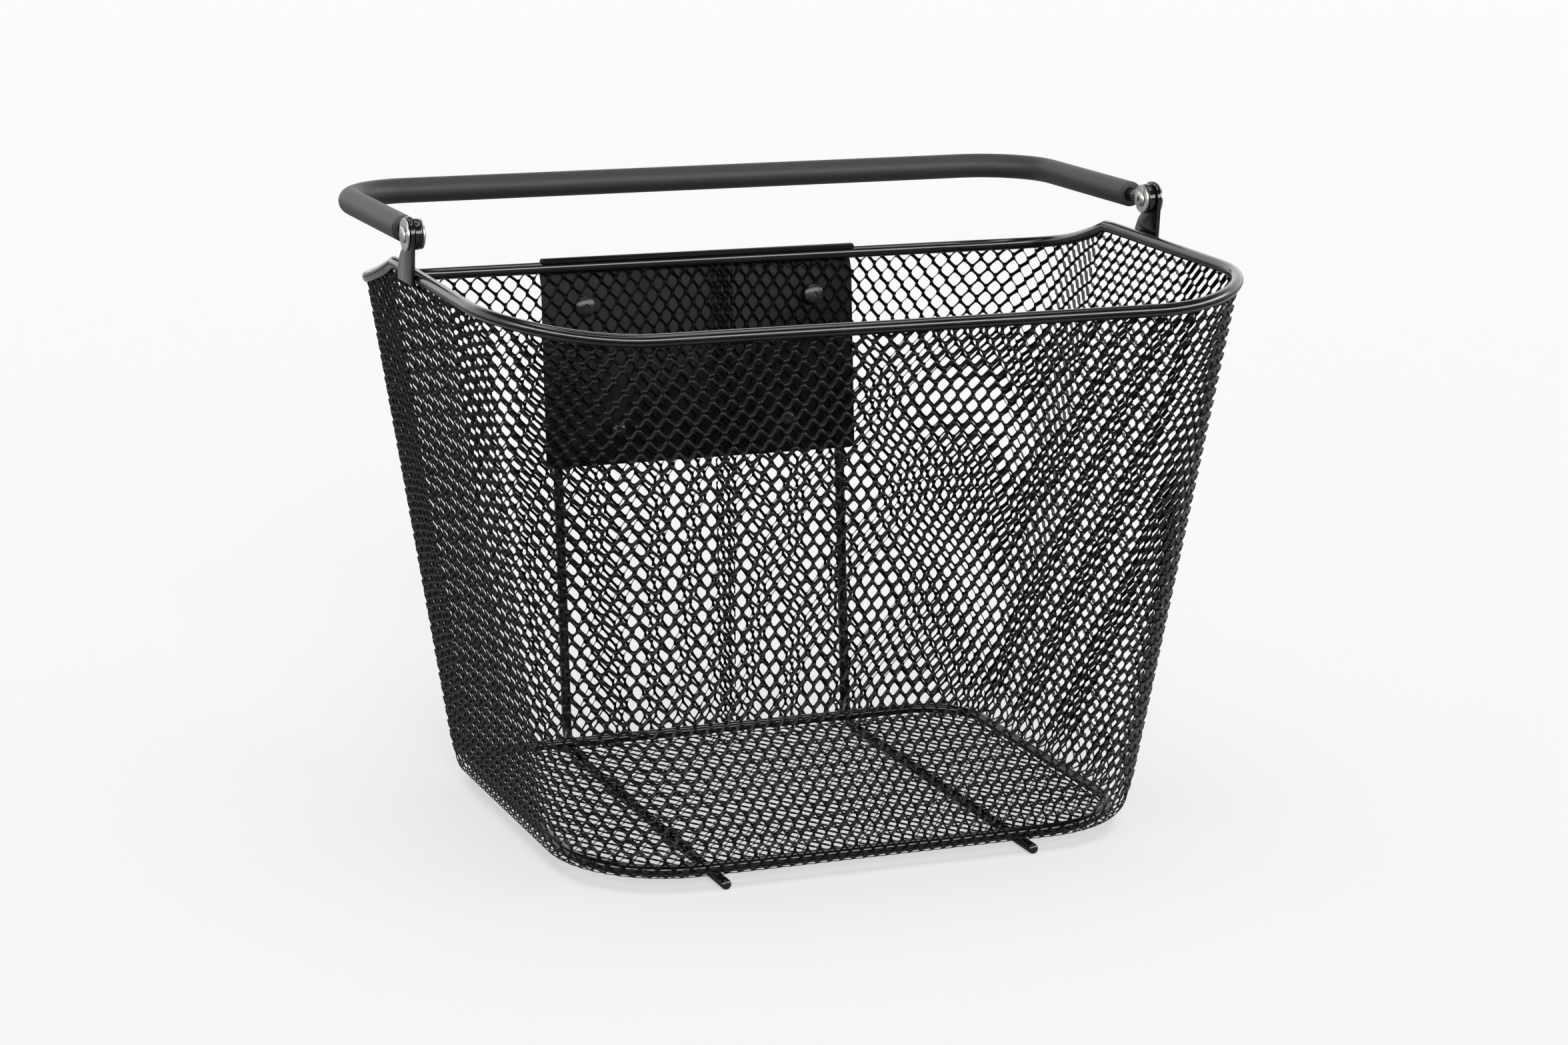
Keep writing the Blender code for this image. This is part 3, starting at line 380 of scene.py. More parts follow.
# dark and pale give red and green in one number, and blue
finishes = dict(
    glossCoat=dict(slot="black_coat", group="sprayedCoat", fineness=1500, smooth=0.13,
        rough=0.24, dark=(0.0035, 0.0037), pale=(0.009, 0.009), relief=0.00001, coat=0.25),
    meshCoat=dict(slot="black_coat", group="sprayedCoat", fineness=2200, smooth=0.3, rough=0.42,
        dark=(0.0022, 0.0024), pale=(0.006, 0.006), specular=0.14),
    sheetCoat=dict(slot="black_sheet", group="sprayedCoat", fineness=1300, smooth=0.34,
        rough=0.46, dark=(0.003, 0.003), pale=(0.006, 0.006), specular=0.08),
    mouldedPlastic=dict(slot="black_plastic", group="sprayedCoat", fineness=4200, smooth=0.45,
        rough=0.62, dark=(0.012, 0.012), pale=(0.024, 0.024), specular=0.45, relief=0.00006),
    blackBolt=dict(slot="black_bolt", group="rubbedMetal", fineness=1400, smooth=0.2, rough=0.36,
        dark=(0.010, 0.011), pale=(0.04, 0.04), metallic=0.4),
    zincPlate=dict(slot="zinc", group="rubbedMetal", fineness=1800, smooth=0.26, rough=0.5,
        dark=(0.42, 0.40), pale=(0.68, 0.66), metallic=1.0),
    # its dark tone is painted shade in the pore hollows, its pale tone the foam between them
    gripFoam=dict(slot="foam", group="foamPoresAndShade", fineness=2600, smooth=0.34, rough=0.5,
        dark=(0.008, 0.0084), pale=(0.028, 0.029), specular=0.4, relief=0.00006),
)


def makeFinish(name):
    look = {**usualLook, **finishes[name]}
    material = bpy.data.materials.new(name)
    material.use_nodes = True
    tree = material.node_tree
    inputs = {"Vector": addNode(tree, "TexCoord").outputs["Object"], "Fineness": look["fineness"]}
    height, dustStainAndPoreShade = addNode(tree, "Group", inputs, node_tree=groups[look["group"]]).outputs
    # colour runs from dark to pale with the effect's second output: dust on the coats, stain on the
    # metals, and painted shade in the hollows of the foam's pores
    colour = addNode(tree, "ValToRGB", {"Fac": dustStainAndPoreShade})
    for element, tone in zip(colour.color_ramp.elements, ("dark", "pale")):
        grey, blue = look[tone]
        element.color = (grey, grey, blue, 1)
    inputs = {"Value": dustStainAndPoreShade, "To Min": look["smooth"], "To Max": look["rough"]}
    gloss = addNode(tree, "MapRange", inputs)
    bump = addNode(tree, "Bump", {"Height": height, "Distance": look["relief"], "Strength": 1.0})
    setInputs(tree.nodes["Principled BSDF"], {
        "Base Color": colour.outputs["Color"],
        "Roughness": gloss.outputs["Result"],
        "Normal": bump.outputs["Normal"],
        "Metallic": look["metallic"],
        "Specular IOR Level": look["specular"],
        "Coat Weight": look["coat"],
        "Coat Roughness": look["coatRoughness"],
    })
    return material


finish = {name: makeFinish(name) for name in finishes}
print("finishes made:", len(finish))

form = dict(
    midway=0.008125,         # the origin is this far behind the middle of the rim
    rim=(0.185, 0.140, 0.140, 0.065, 0.050),     # half width, front, rear, and their bends
    base=(0.137, 0.103, 0.113, 0.050, 0.030),
    ringSteps=(2, 14, 16, 14, 2),    # along the runs listed below
    rimHeight=0.269, frontDrop=0.0075, rearDrop=0.019, crestRise=0.0025, crestFromRear=0.092,
    rimWire=0.006, sheet=0.0012, sheetLevel=0.0059, bendRadius=0.010, bendAngle=radians(80),
)
bendReach = form["bendRadius"] * sin(form["bendAngle"])
bendTop = form["sheetLevel"] + form["bendRadius"] * (1 - cos(form["bendAngle"]))
bendLength = form["bendRadius"] * form["bendAngle"]


def runs(outline):
    # half the back, the rear bend, the side, the front bend, half the front
    halfWidth, front, rear, frontRadius, rearRadius = outline
    return (halfWidth - rearRadius, rearRadius * quarter, front + rear - frontRadius - rearRadius,
            frontRadius * quarter, halfWidth - frontRadius)


meanRuns = [(rim + base) / 2 for rim, base in zip(runs(form["rim"]), runs(form["base"]))]
halfRound = sum(meanRuns)


def shareOfRun(turn):
    # a turn is from -1 to 1, from the back round to the back, with 0 in the middle of the front
    distance = (1 - abs((turn + 1) % 2 - 1)) * halfRound
    for number, length in enumerate(meanRuns):
        if distance <= length:
            return number, distance / length
        distance -= length
    return len(meanRuns) - 1, 1.0


def outlinePoint(outline, turn, outset=0.0):
    # the place on an outline at this turn, and the way out from it
    halfWidth, front, rear, frontRadius, rearRadius = outline
    number, share = shareOfRun(turn)
    rearX, rearY = halfWidth - rearRadius, rear - rearRadius
    frontX, frontY = halfWidth - frontRadius, frontRadius - front
    x, y, radius, angle = (
        (rearX * share, rearY, rearRadius, quarter),
        (rearX, rearY, rearRadius, quarter * (1 - share)),
        (halfWidth, rearY + (frontY - rearY) * share, 0, 0),
        (frontX, frontY, frontRadius, -quarter * share),
        (frontX * (1 - share), frontY, frontRadius, -quarter),
    )[number]
    out = Vector((cos(angle), sin(angle)))
    place = Vector((x, y)) + out * (radius + outset)
    side = 1 if turn % 2 < 1 else -1
    return Vector((side * place.x, place.y - form["midway"])), Vector((side * out.x, out.y))


def rimHeight(turn):
    number, share = shareOfRun(turn)
    rearBend, side = runs(form["rim"])[1:3]
    crest = rearBend + form["crestFromRear"] - form["rim"][4]
    if number > 2:
        share = share if number == 3 else 1
        return form["rimHeight"] - form["frontDrop"] * share * share * (3 - 2 * share)
    along = (0, share * rearBend, rearBend + share * side)[number]
    if along < crest:
        rise = form["crestRise"] + form["rearDrop"]
        return form["rimHeight"] - form["rearDrop"] + rise * (along / crest) ** 2
    end = rearBend + side
    return form["rimHeight"] + form["crestRise"] * (end - along) / (end - crest)


def ringTurns():
    distances, start = [], 0.0
    for length, count in zip(meanRuns, form["ringSteps"]):
        distances += [start + length * step / count for step in range(count)]
        start += length
    half = [1 - distance / halfRound for distance in distances] + [0.0]
    return half + [-turn for turn in reversed(half[1:-1])]


wallLines = {}


def wallLine(distance):
    # foot, way up, way out and length of the wall's line this far round, and the bend below it
    key = round(distance, 7)
    if key not in wallLines:
        turn = distance / halfRound
        foot, out = outlinePoint(form["base"], turn, bendReach)
        rim, _ = outlinePoint(form["rim"], turn)
        edge, _ = outlinePoint(form["base"], turn)
        foot, out, edge = Vector((*foot, bendTop)), Vector((*out, 0)), Vector((*edge, 0))
        line = Vector((*rim, rimHeight(turn))) - foot
        up = line.normalized()
        facing = Vector((-out.y, out.x, 0)).cross(up).normalized()
        if facing.dot(out) < 0:
            facing.negate()
        wallLines[key] = (foot, up, facing, line.length, edge, out)
    return wallLines[key]


def arcTo(outline, distance):
    # the length of the outline itself, this far round from the middle of the front
    if distance < 0:
        return -arcTo(outline, -distance)
    total = 0.0
    for length, mean in zip(reversed(runs(outline)), reversed(meanRuns)):
        taken = min(distance, mean)
        total += length * taken / mean
        distance -= taken
    return total + (distance * runs(outline)[0] / meanRuns[0] if distance > 0 else 0)


rowHeights = {}


def heightOnLine(distance, flat):
    # rows stand closer where the sheet is pulled wide, and further apart where it is narrow
    key = round(distance if distance < halfRound else distance - 2 * halfRound, 4)
    if key not in rowHeights:
        foot, rim = meshWidths(key)
        length = wallLine(key)[3]
        heights = [0.0]
        while heights[-1] < length + 2 * metal["row"]:
            width = foot + (rim - foot) * min(1, heights[-1] / length)
            heights.append(heights[-1] + sqrt(metal["strandLength"] ** 2 - width ** 2) / 2)
        rowHeights[key] = heights
    heights = rowHeights[key]
    place = flat / metal["row"]
    row = min(int(place), len(heights) - 2)
    return heights[row] + (heights[row + 1] - heights[row]) * (place - row)


def onWall(point):
    # flat (distance round, height up the wall, outwards) to its place; below 0 it follows the bend
    foot, up, facing, length, edge, out = wallLine(point.x)
    if point.y >= 0:
        return foot + up * min(heightOnLine(point.x, point.y), length) + facing * point.z
    angle = form["bendAngle"] * (1 + point.y / bendLength)
    away = out * sin(angle) - Vector((0, 0, cos(angle)))
    middle = edge + Vector((0, 0, form["sheetLevel"] + form["bendRadius"]))
    return middle + away * (form["bendRadius"] + point.z)


metal = dict(
    # half meshes along each run from the middle of the front, and the last's width in first ones
    right=((31, 1.0), (26, 1.0), (34, 1.0), (18, 1.0), (34, 0.85)),
    left=((28, 1.2), (24, 1.0), (35, 1.0), (18, 1.0), (34, 0.85)),
    row=0.00575,             # from one row of openings to the next
    strandLength=0.0138,     # an opening pulled wide grows short: width and height square to this
    evenedOver=0.030,        # how far either way the pull is evened out
    bond=0.0021,             # height of the short upright where two openings stand side by side
    corner=0.00095,
    strand=0.00037,          # half the width of a strand
    narrowed=0.92,           # openings, for the wider bonds
    lean=0.00112,            # how far a strand's lower edge stands out, and its upper edge in
    fullLean=0.009,          # height above the bottom bend at which the lean is full
    leanFrom=2.0,            # how soon along a strand the lean is full
    thickness=0.00032,
    rimMargin=0.002,
    overlap=2,               # half meshes drawn past a panel's ends, then cut off
    overrise=1.1,            # and rows past the rim, as a share of the wall
)


# the half meshes at which each run ends
rightEnds, leftEnds = [[0, *accumulate(count for count, _ in metal[side])]
                       for side in ("right", "left")]


def halfPlace(side, column):
    # distance round from the middle of the front, for a half mesh of one side
    distance = 0.0
    for length, (count, growth) in zip(reversed(meanRuns), metal[side]):
        part, slope = min(column, count) / count, (growth - 1) / 2
        distance += length * part * (1 + slope * part) / (1 + slope)
        column -= min(column, count)
    return distance


def columnPlace(column):
    # half meshes count from the middle of the front, less than 0 to the left
    if column < 0:
        return -halfPlace("left", -column)
    if column > rightEnds[-1]:
        return 2 * halfRound - halfPlace("left", rightEnds[-1] + leftEnds[-1] - column)
    return halfPlace("right", column)


columnPlaces = [columnPlace(column) for column in range(-leftEnds[-1], rightEnds[-1] + 1)]


def columnAt(distance):
    number = min(max(bisect(columnPlaces, distance), 1), len(columnPlaces) - 1)
    before, after = columnPlaces[number - 1:number + 1]
    return number - 1 + (distance - before) / (after - before)


def meshWidths(distance):
    # width of a mesh at the foot and at the rim, evened out round the bends
    start, end = distance - metal["evenedOver"], distance + metal["evenedOver"]
    meshes = (columnAt(end) - columnAt(start)) / 2
    return [(arcTo(outline, end) - arcTo(outline, start)) / meshes
            for outline in (form["base"], form["rim"])]


def honeycomb(first, last, start, rows, placeX):
    # squares lose every other upright, and the ends of the rest draw together
    sheet = bmesh.new()
    columns = last - first
    bmesh.ops.create_grid(sheet, x_segments=columns, y_segments=rows, size=0.5)
    for vert in sheet.verts:
        x, y, _ = vert.co
        vert.co = (first + round((x + 0.5) * columns), round((y + 0.5) * rows), 0)
    spare = []
    for edge in sheet.edges:
        low, high = sorted(edge.verts, key=lambda v: v.co.y)
        if high.co.y > low.co.y and not edge.is_boundary and (low.co.x + low.co.y) % 2:
            spare.append(edge)
    bmesh.ops.dissolve_edges(sheet, edges=spare)
    draw = (metal["row"] - metal["bond"]) / 2
    for vert in sheet.verts:
        column, row = int(vert.co.x), int(vert.co.y)
        shift = -draw if (column + row) % 2 else draw
        vert.co = (placeX(column), start + row * metal["row"] + shift, 0)
    roundCorners(sheet, sheet.verts[:], metal["corner"], 1)
    return sheet


def wallLean(height):
    return metal["lean"] * max(0.0, min(1.0, height / metal["fullLean"]))


def openUp(sheet, leanAt, wanted=None):
    # each opening is set in, leant against the sheet and taken out; its corners are given back
    openings = [face for face in sheet.faces
                if len(face.verts) > 6 and (not wanted or wanted(face))]
    bmesh.ops.inset_individual(sheet, faces=openings, thickness=metal["strand"],
                               use_even_offset=True)
    for face in openings:
        middle = face.calc_center_bounds()
        reach = max(abs(v.co.y - middle.y) for v in face.verts)
        for vert in face.verts:
            across = vert.co.x - middle.x
            vert.co.x = middle.x + across * metal["narrowed"]
            share = metal["leanFrom"] * (vert.co.y - middle.y) / reach
            vert.co.z = leanAt(vert.co.y) * max(-1, min(1, share))
    around = {vert for face in openings for vert in face.verts}
    bmesh.ops.delete(sheet, geom=openings, context="FACES_ONLY")
    return around


def tidySheet(sheet):
    bmesh.ops.dissolve_degenerate(sheet, dist=merge / 2, edges=sheet.edges[:])
    loose = [vert for vert in sheet.verts if not vert.link_faces]
    bmesh.ops.delete(sheet, geom=loose, context="VERTS")


def outsideWall(face):
    # below the bottom bend, or too near the rim for a whole strand
    middle = face.calc_center_bounds().x
    lowest = min(vert.co.y for vert in face.verts)
    if max(vert.co.y for vert in face.verts) < -bendLength:
        return True
    top = wallLine(round(middle, 4))[3] - metal["rimMargin"]
    return lowest > 0 and heightOnLine(middle, lowest) > top


def wallSheet(first, last, outset=0.0, slide=0.0):
    # a stretch of the wall between two half meshes
    rise = max(wallLine(columnPlace(column))[3] for column in range(first, last + 1))
    below = ceil(bendLength / metal["row"])
    rows = ceil(metal["overrise"] * rise / metal["row"]) + below + 1
    start, spare = -below * metal["row"], metal["overlap"]
    sheet = honeycomb(first - spare, last + spare, start, rows, columnPlace)
    openUp(sheet, wallLean)
    for end, outwards in ((first, -1), (last, 1)):
        bmesh.ops.bisect_plane(sheet, geom=sheet.verts[:] + sheet.edges[:] + sheet.faces[:],
                               plane_co=(columnPlace(end), 0, 0), plane_no=(outwards, 0, 0),
                               dist=merge, clear_outer=True)
    outside = [face for face in sheet.faces if outsideWall(face)]
    bmesh.ops.delete(sheet, geom=outside, context="FACES")
    bmesh.ops.recalc_face_normals(sheet, faces=sheet.faces[:])
    if sum(face.normal.z for face in sheet.faces) < 0:
        bmesh.ops.reverse_faces(sheet, faces=sheet.faces[:])
    bmesh.ops.translate(sheet, vec=(0, 0, metal["thickness"] / 2), verts=sheet.verts)
    bmesh.ops.solidify(sheet, geom=sheet.faces[:], thickness=metal["thickness"])
    for vert in sheet.verts:
        x, y, z = vert.co
        vert.co = onWall(Vector((x + slide, max(y, -bendLength), z + outset)))
    tidySheet(sheet)
    return sheet


def makeWall():
    right, left = rightEnds, leftEnds
    panels = [("front", -left[1], right[1]), ("back", right[4], right[5] + left[5] - left[4])]
    for number, name in ((1, "front_corner_"), (2, "side_"), (3, "back_corner_")):
        panels.append((name + "right", right[number], right[number + 1]))
        panels.append((name + "left", -left[number + 1], -left[number]))
    for name, first, last in panels:
        sheet = wallSheet(first, last)
        if name == "back":
            addSeam(sheet, right[5])
        panel = makeObject("expanded_wall_" + name, sheet)
        dress(panel, 50, "meshCoat", "wall_mesh_" + name)
        print("wall panel", name, len(panel.data.polygons), "faces")


wallSeam = dict(
    start=-4,                # half meshes from the middle of the back, less being to the right
    halfMeshes=3,            # width of the lap
    inset=-0.0011,           # the second layer lies inside the first
    slide=-0.0027,           # and its openings beside the first's
)


def addSeam(sheet, middle):
    # the sheet's two ends lap beside the middle of the back
    start = middle + wallSeam["start"]
    lap = wallSheet(start, start + wallSeam["halfMeshes"], wallSeam["inset"], wallSeam["slide"])
    mesh = bpy.data.meshes.new("lap")
    lap.to_mesh(mesh)
    lap.free()
    sheet.from_mesh(mesh)
    bpy.data.meshes.remove(mesh)


floorSheet = dict(
    halfMesh=0.0036, lean=0.00058,
    margin=0.0009,           # from the base's outline to the sheet's edge
    border=0.0012,           # and from there to the openings
)


def floorLimit(vert, margin):
    # distance outside the floor's rounded outline less a margin, and the nearest place on it
    halfWidth, front, rear, frontRadius, rearRadius = form["base"]
    x, y = vert.co.x, vert.co.y + form["midway"]
    reach, radius = (rear, rearRadius) if y > 0 else (front, frontRadius)
    innerX, innerY = halfWidth - radius, reach - radius
    pastX, pastY = abs(x) - innerX, abs(y) - innerY
    if pastX > 0 and pastY > 0:
        away = hypot(pastX, pastY)
        scale = min(1.0, (radius - margin) / away)
        nearX, nearY = innerX + pastX * scale, innerY + pastY * scale
        outside = away - radius + margin
    else:
        nearX, nearY = min(abs(x), halfWidth - margin), min(abs(y), reach - margin)
        outside = max(pastX, pastY) - radius + margin
    return outside, copysign(nearX, x), copysign(nearY, y) - form["midway"]


def makeFloorSheet():
    halfWidth, front, rear = form["base"][:3]
    pitch = floorSheet["halfMesh"]
    columns = ceil(halfWidth / pitch) + 1
    rows = ceil((front + rear) / metal["row"]) + 2
    start = -front - form["midway"] - metal["row"]
    sheet = honeycomb(-columns, columns, start, rows, lambda column: column * pitch)
    margin = floorSheet["margin"]
    inner = margin + floorSheet["border"]

    def insideBorder(face):
        return any(floorLimit(vert, inner)[0] < 0 for vert in face.verts)

    for vert in openUp(sheet, lambda height: floorSheet["lean"], insideBorder):
        outside, x, y = floorLimit(vert, inner)
        if outside > 0:
            vert.co = (x, y, 0)
    beyond = [face for face in sheet.faces
              if all(floorLimit(vert, margin)[0] > 0 for vert in face.verts)]
    bmesh.ops.delete(sheet, geom=beyond, context="FACES")
    for vert in sheet.verts:
        level = vert.co.z + form["sheetLevel"] - metal["thickness"] / 2
        vert.co = (*floorLimit(vert, margin)[1:], level)
    bmesh.ops.dissolve_degenerate(sheet, dist=merge / 2, edges=sheet.edges[:])
    raiseFaces(sheet, metal["thickness"])
    bmesh.ops.recalc_face_normals(sheet, faces=sheet.faces[:])
    tidySheet(sheet)
    piece = makeObject("expanded_floor", sheet)
    dress(piece, 50, "meshCoat", "base_mesh")
    print("floor", len(piece.data.polygons), "faces")


rimRoll = dict(
    steps=22,                # round the section
    grooveAt=-9,             # degrees from level, on the outside: the rolled edge meets the hem
    grooveHalf=5, grooveDepth=0.0005,
    hemTo=-84,               # where the hem below the groove ends, on the outside
    hemGap=4,                # degrees from there over which the hem's edge is stepped
    hemStep=0.0005,
)


def rimSection():
    # radius by angle round the section: 0 is outwards and 90 up
    spec, radius = rimRoll, form["rimWire"] / 2
    groove, half, hem = spec["grooveAt"], spec["grooveHalf"], 360 + spec["hemTo"]
    stepped, steps = radius - spec["hemStep"], spec["steps"]
    sweep = hem - groove - half - spec["hemGap"]
    section = [(groove, radius - spec["grooveDepth"]), (groove + half, radius)]
    section += [(groove + half + sweep * step / steps, radius) for step in range(1, steps)]
    section += [(groove + half + sweep, stepped), (hem, stepped), (hem, radius),
                (360 + (spec["hemTo"] + groove - half) / 2, radius), (360 + groove - half, radius)]
    return [(radians(angle), reach) for angle, reach in section]


def makeRim():
    # wire rolled into the sheet's edge, whose end leaves a groove along the outer side, over a hem
    shape = bmesh.new()
    section, rings = rimSection(), []
    for turn in ringTurns():
        place, out = outlinePoint(form["rim"], turn)
        middle, out = Vector((*place, rimHeight(turn))), Vector((*out, 0))
        rings.append([shape.verts.new(middle + out * reach * cos(angle)
                                      + Vector((0, 0, reach * sin(angle))))
                      for angle, reach in section])
    for ring, after in zip(rings, rings[1:] + rings[:1]):
        for number in range(len(ring)):
            shape.faces.new((ring[number - 1], ring[number], after[number], after[number - 1]))
    dress(makeObject("rolled_rim", shape), 40, "glossCoat", "top_rim")


baseWire = dict(diameter=0.005, level=0.0093, sides=16)


def makeBaseRing():
    points = [(*outlinePoint(form["base"], turn)[0], baseWire["level"]) for turn in ringTurns()]
    shape = tubeAlong("ring", points, baseWire["diameter"], baseWire["sides"], closed=True)
    dress(makeObject("base_wire", shape), 60, "glossCoat", "base_ring")


rearWall = dict(lean=radians(4.1597), plateBack=0.0024, hookBack=0.0097)
rearTop = (0, form["rim"][2] - form["midway"], form["rimHeight"] - form["rearDrop"])
rearFrame = Matrix.Translation(rearTop) @ Matrix.Rotation(-rearWall["lean"], 4, "X")

supportRod = dict(
    diameter=0.005, spread=0.077, nub=0.008,
    top=-0.047,              # its end, below the rim's middle
    knee=-0.1045,
    endRound=0.3,            # share of its diameter
    bendSteps=14, sides=14,
)


def makeRods():
    thick = supportRod["diameter"]
    line = rearWall["plateBack"] + seat + thick / 2
    top = rearFrame @ Vector((0, line, supportRod["top"]))
    knee = rearFrame @ Vector((0, line, supportRod["knee"]))
    front = -form["base"][1] - form["midway"] - supportRod["nub"]
    turnRadius = form["bendRadius"] + form["sheet"] / 2 + seat + thick / 2
    middle = Vector((0, form["base"][2] - form["midway"], form["sheetLevel"] + form["bendRadius"]))
    toKnee = knee - middle
    tangent = atan2(toKnee.z, toKnee.y) - acos(turnRadius / toKnee.length)
    points = [Vector((0, front, thick / 2))]
    for y, z in arc(turnRadius, -quarter, tangent, supportRod["bendSteps"]):
        points.append(middle + Vector((0, y, z)))
    points += [knee, top]
    for side, sign in bothSides:
        run = [point + Vector((sign * supportRod["spread"], 0, 0)) for point in points]
        shape = tubeAlong("rod", run, thick, supportRod["sides"])
        edges = [edge for face in endsOf(shape) for edge in face.edges]
        bmesh.ops.bevel(shape, geom=edges, offset=thick * supportRod["endRound"], segments=3,
                        profile=0.5, affect="EDGES", material=-1)
        dress(makeObject("carrier_rod_" + side, shape), 60, "glossCoat", "support_rod_" + side)


backPlate = dict(
    halfWidth=0.084, bottom=-0.102, thickness=0.0015,
    middle=0.00165,          # outwards from the wall's middle
    jog=-0.009, hemRadius=0.00405, hemAngle=radians(150), hemSteps=16, corner=0.003,
    cornerSteps=4, edge=0.00035,
)


def makeBackPlate():
    # a sheet folded over the rim, drawn as its middle and then made thick
    spec = backPlate
    profile = [(spec["middle"], spec["bottom"]), (spec["middle"], spec["jog"]),
               (spec["hemRadius"], -form["rimWire"] / 2)]
    profile += arc(spec["hemRadius"], 0, spec["hemAngle"], spec["hemSteps"])
    shape = bmesh.new()
    line = [shape.verts.new((-spec["halfWidth"], y, z)) for y, z in profile]
    edges = [shape.edges.new(pair) for pair in zip(line, line[1:])]
    grown = bmesh.ops.extrude_edge_only(shape, edges=edges)
    moved = only(bmesh.types.BMVert, grown)
    bmesh.ops.translate(shape, vec=(2 * spec["halfWidth"], 0, 0), verts=moved)
    corners = [vert for vert in shape.verts if len(vert.link_faces) == 1]
    roundCorners(shape, corners, spec["corner"], spec["cornerSteps"])
    plate = makeObject("folded_back_plate", shape)
    setAll(plate.modifiers.new("sheet", "SOLIDIFY"), thickness=spec["thickness"], offset=0,
           use_even_offset=True)
    applyModifiers(plate)
    softenEdges(plate, spec["edge"], 2, 50)
    plate.data.transform(rearFrame)
    dress(plate, 40, "sheetCoat", "rear_plate")


hookPlate = dict(
    thickness=0.007, topHalfWidth=0.071, bottomHalfWidth=0.055, top=-0.0105, bottom=-0.095,
    corner=0.006, edge=0.0008,
    rooted=0.001,            # raised parts start this deep in the plate
    hookSpread=0.036, hookWidth=0.014, hookTop=-0.018, hookHeight=0.024, slot=0.007, lip=0.0045,
    roof=0.007,
    pad=(0.025, -0.068, -0.026, 0.0015),  # half width, bottom, top, rise
    catch=(0.013, -0.085, -0.074, 0.008), catchEdge=0.002,
)
bolts = {
    "upper": dict(spread=0.062, below=-0.0205, head=0.0108, shank=0.005, flats=0.008),
    "lower": dict(spread=0.046, below=-0.084, head=0.0076, shank=0.004, flats=0.007),
}
boltDetail = dict(
    headHeight=0.0026, headEdge=0.0006, underHead=0.0002, shankEdge=0.0005, socket=0.003,
    socketDepth=0.0014, steps=48, nut=0.004, nutChamfer=0.0005, nutSteps=36,
)


def hexRadius(flats):
    return flats / 2 / cos(pi / 6)


def makeHookPlate():
    spec, back = hookPlate, rearWall["hookBack"]
    low, high, root = spec["bottomHalfWidth"], spec["topHalfWidth"], back - spec["rooted"]
    outline = [(-low, spec["bottom"]), (low, spec["bottom"]),
               (high, spec["top"]), (-high, spec["top"])]
    plate = makeObject("hook_bracket_plate", plateShape(outline, spec["thickness"], spec["corner"]),
                       Matrix.Translation((0, back, 0)) @ quarterTurn("X"))
    inner, top = back + spec["slot"], spec["hookTop"]
    outer, low = inner + spec["lip"], top - spec["hookHeight"]
    hook = [(root, top - spec["roof"]), (inner, top - spec["roof"]), (inner, low), (outer, low),
            (outer, top - spec["lip"]), (inner, top), (root, top)]
    added = []
    for _, sign in bothSides:
        place = Matrix.Translation((sign * spec["hookSpread"] - spec["hookWidth"] / 2, 0, 0))
        added.append(makeObject("hook", plateShape(hook, spec["hookWidth"]),
                                place @ quarterTurn("Z") @ quarterTurn("X")))
    for name in ("pad", "catch"):
        half, bottom, top, rise = spec[name]
        added.append(makeObject(name, boxShape((-half, root, bottom), (half, back + rise, top))))
    softenEdges(added[-1], spec["catchEdge"], 3)
    combine(plate, added, "UNION")
    pockets = []
    for spot in bolts.values():
        poreShadeMask = 2 * (boltDetail["nut"] + 2 * seat)
        for _, sign in bothSides:
            place = Matrix.Translation((sign * spot["spread"], back, spot["below"]))
            pocket = prismShape(hexRadius(spot["flats"]) + seat, poreShadeMask)
            pockets.append(makeObject("pocket", pocket, place @ quarterTurn("X")))
    combine(plate, pockets, "DIFFERENCE")
    softenEdges(plate, spec["edge"], 2, 40)
    plate.data.transform(rearFrame)
    dress(plate, 40, "mouldedPlastic", "hook_plate")


def domeProfile(radius, height, edge, steps=7):
    return [(radius * out, edge + (height - edge) * up) for up, out in arc(1, 0, quarter, steps)]


def makeBolts():
    detail, seatPlace = boltDetail, -form["sheet"] / 2 - seat
    length = rearWall["hookBack"] - seatPlace
    nutPlace = rearWall["hookBack"] - seat - detail["nut"] / 2
    for level, spot in bolts.items():
        head, half, chamfer = spot["head"] / 2, spot["shank"] / 2, detail["shankEdge"]
        profile = domeProfile(head, detail["headHeight"], detail["headEdge"])
        profile += [(head - detail["underHead"], 0), (half, 0), (half, -length + chamfer),
                    (half - chamfer, -length), (0, -length)]
        for side, sign in bothSides:
            ending = f"_{level}_{side}"
            bolt = makeObject("button_bolt" + ending, turnedShape(profile, detail["steps"]))
            socket = prismShape(hexRadius(detail["socket"]), 2 * detail["socketDepth"])
            atTop = Matrix.Translation((0, 0, detail["headHeight"]))
            combine(bolt, [makeObject("socket", socket, atTop)], "DIFFERENCE")
            nut = makeNut(spot)
            nut.name = "hex_nut" + ending
            for piece, back in ((bolt, seatPlace), (nut, nutPlace)):
                place = Matrix.Translation((sign * spot["spread"], back, spot["below"]))
                piece.data.transform(rearFrame @ place @ quarterTurn("X"))
            dress(bolt, 35, "blackBolt", "plate_bolt" + ending)
            dress(nut, 30, "zincPlate", "plate_nut" + ending)


def makeNut(spot):
    # a turned blank with its chamfers and bore, cut to six sides
    high, wide = boltDetail["nut"] / 2, hexRadius(spot["flats"])
    bore, face = spot["shank"] / 2 + seat, spot["flats"] / 2
    chamfer = boltDetail["nutChamfer"]
    upper = [(bore, high - chamfer / 2), (bore + chamfer / 2, high), (face, high),
             (wide, high - chamfer)]
    blank = upper + [(radius, -height) for radius, height in reversed(upper)]
    nut = makeObject("nut", turnedShape(blank + blank[:1], boltDetail["nutSteps"]))
    sides = makeObject("sides", prismShape(wide, boltDetail["nut"] * 2))
    combine(nut, [sides], "INTERSECT")
    return nut


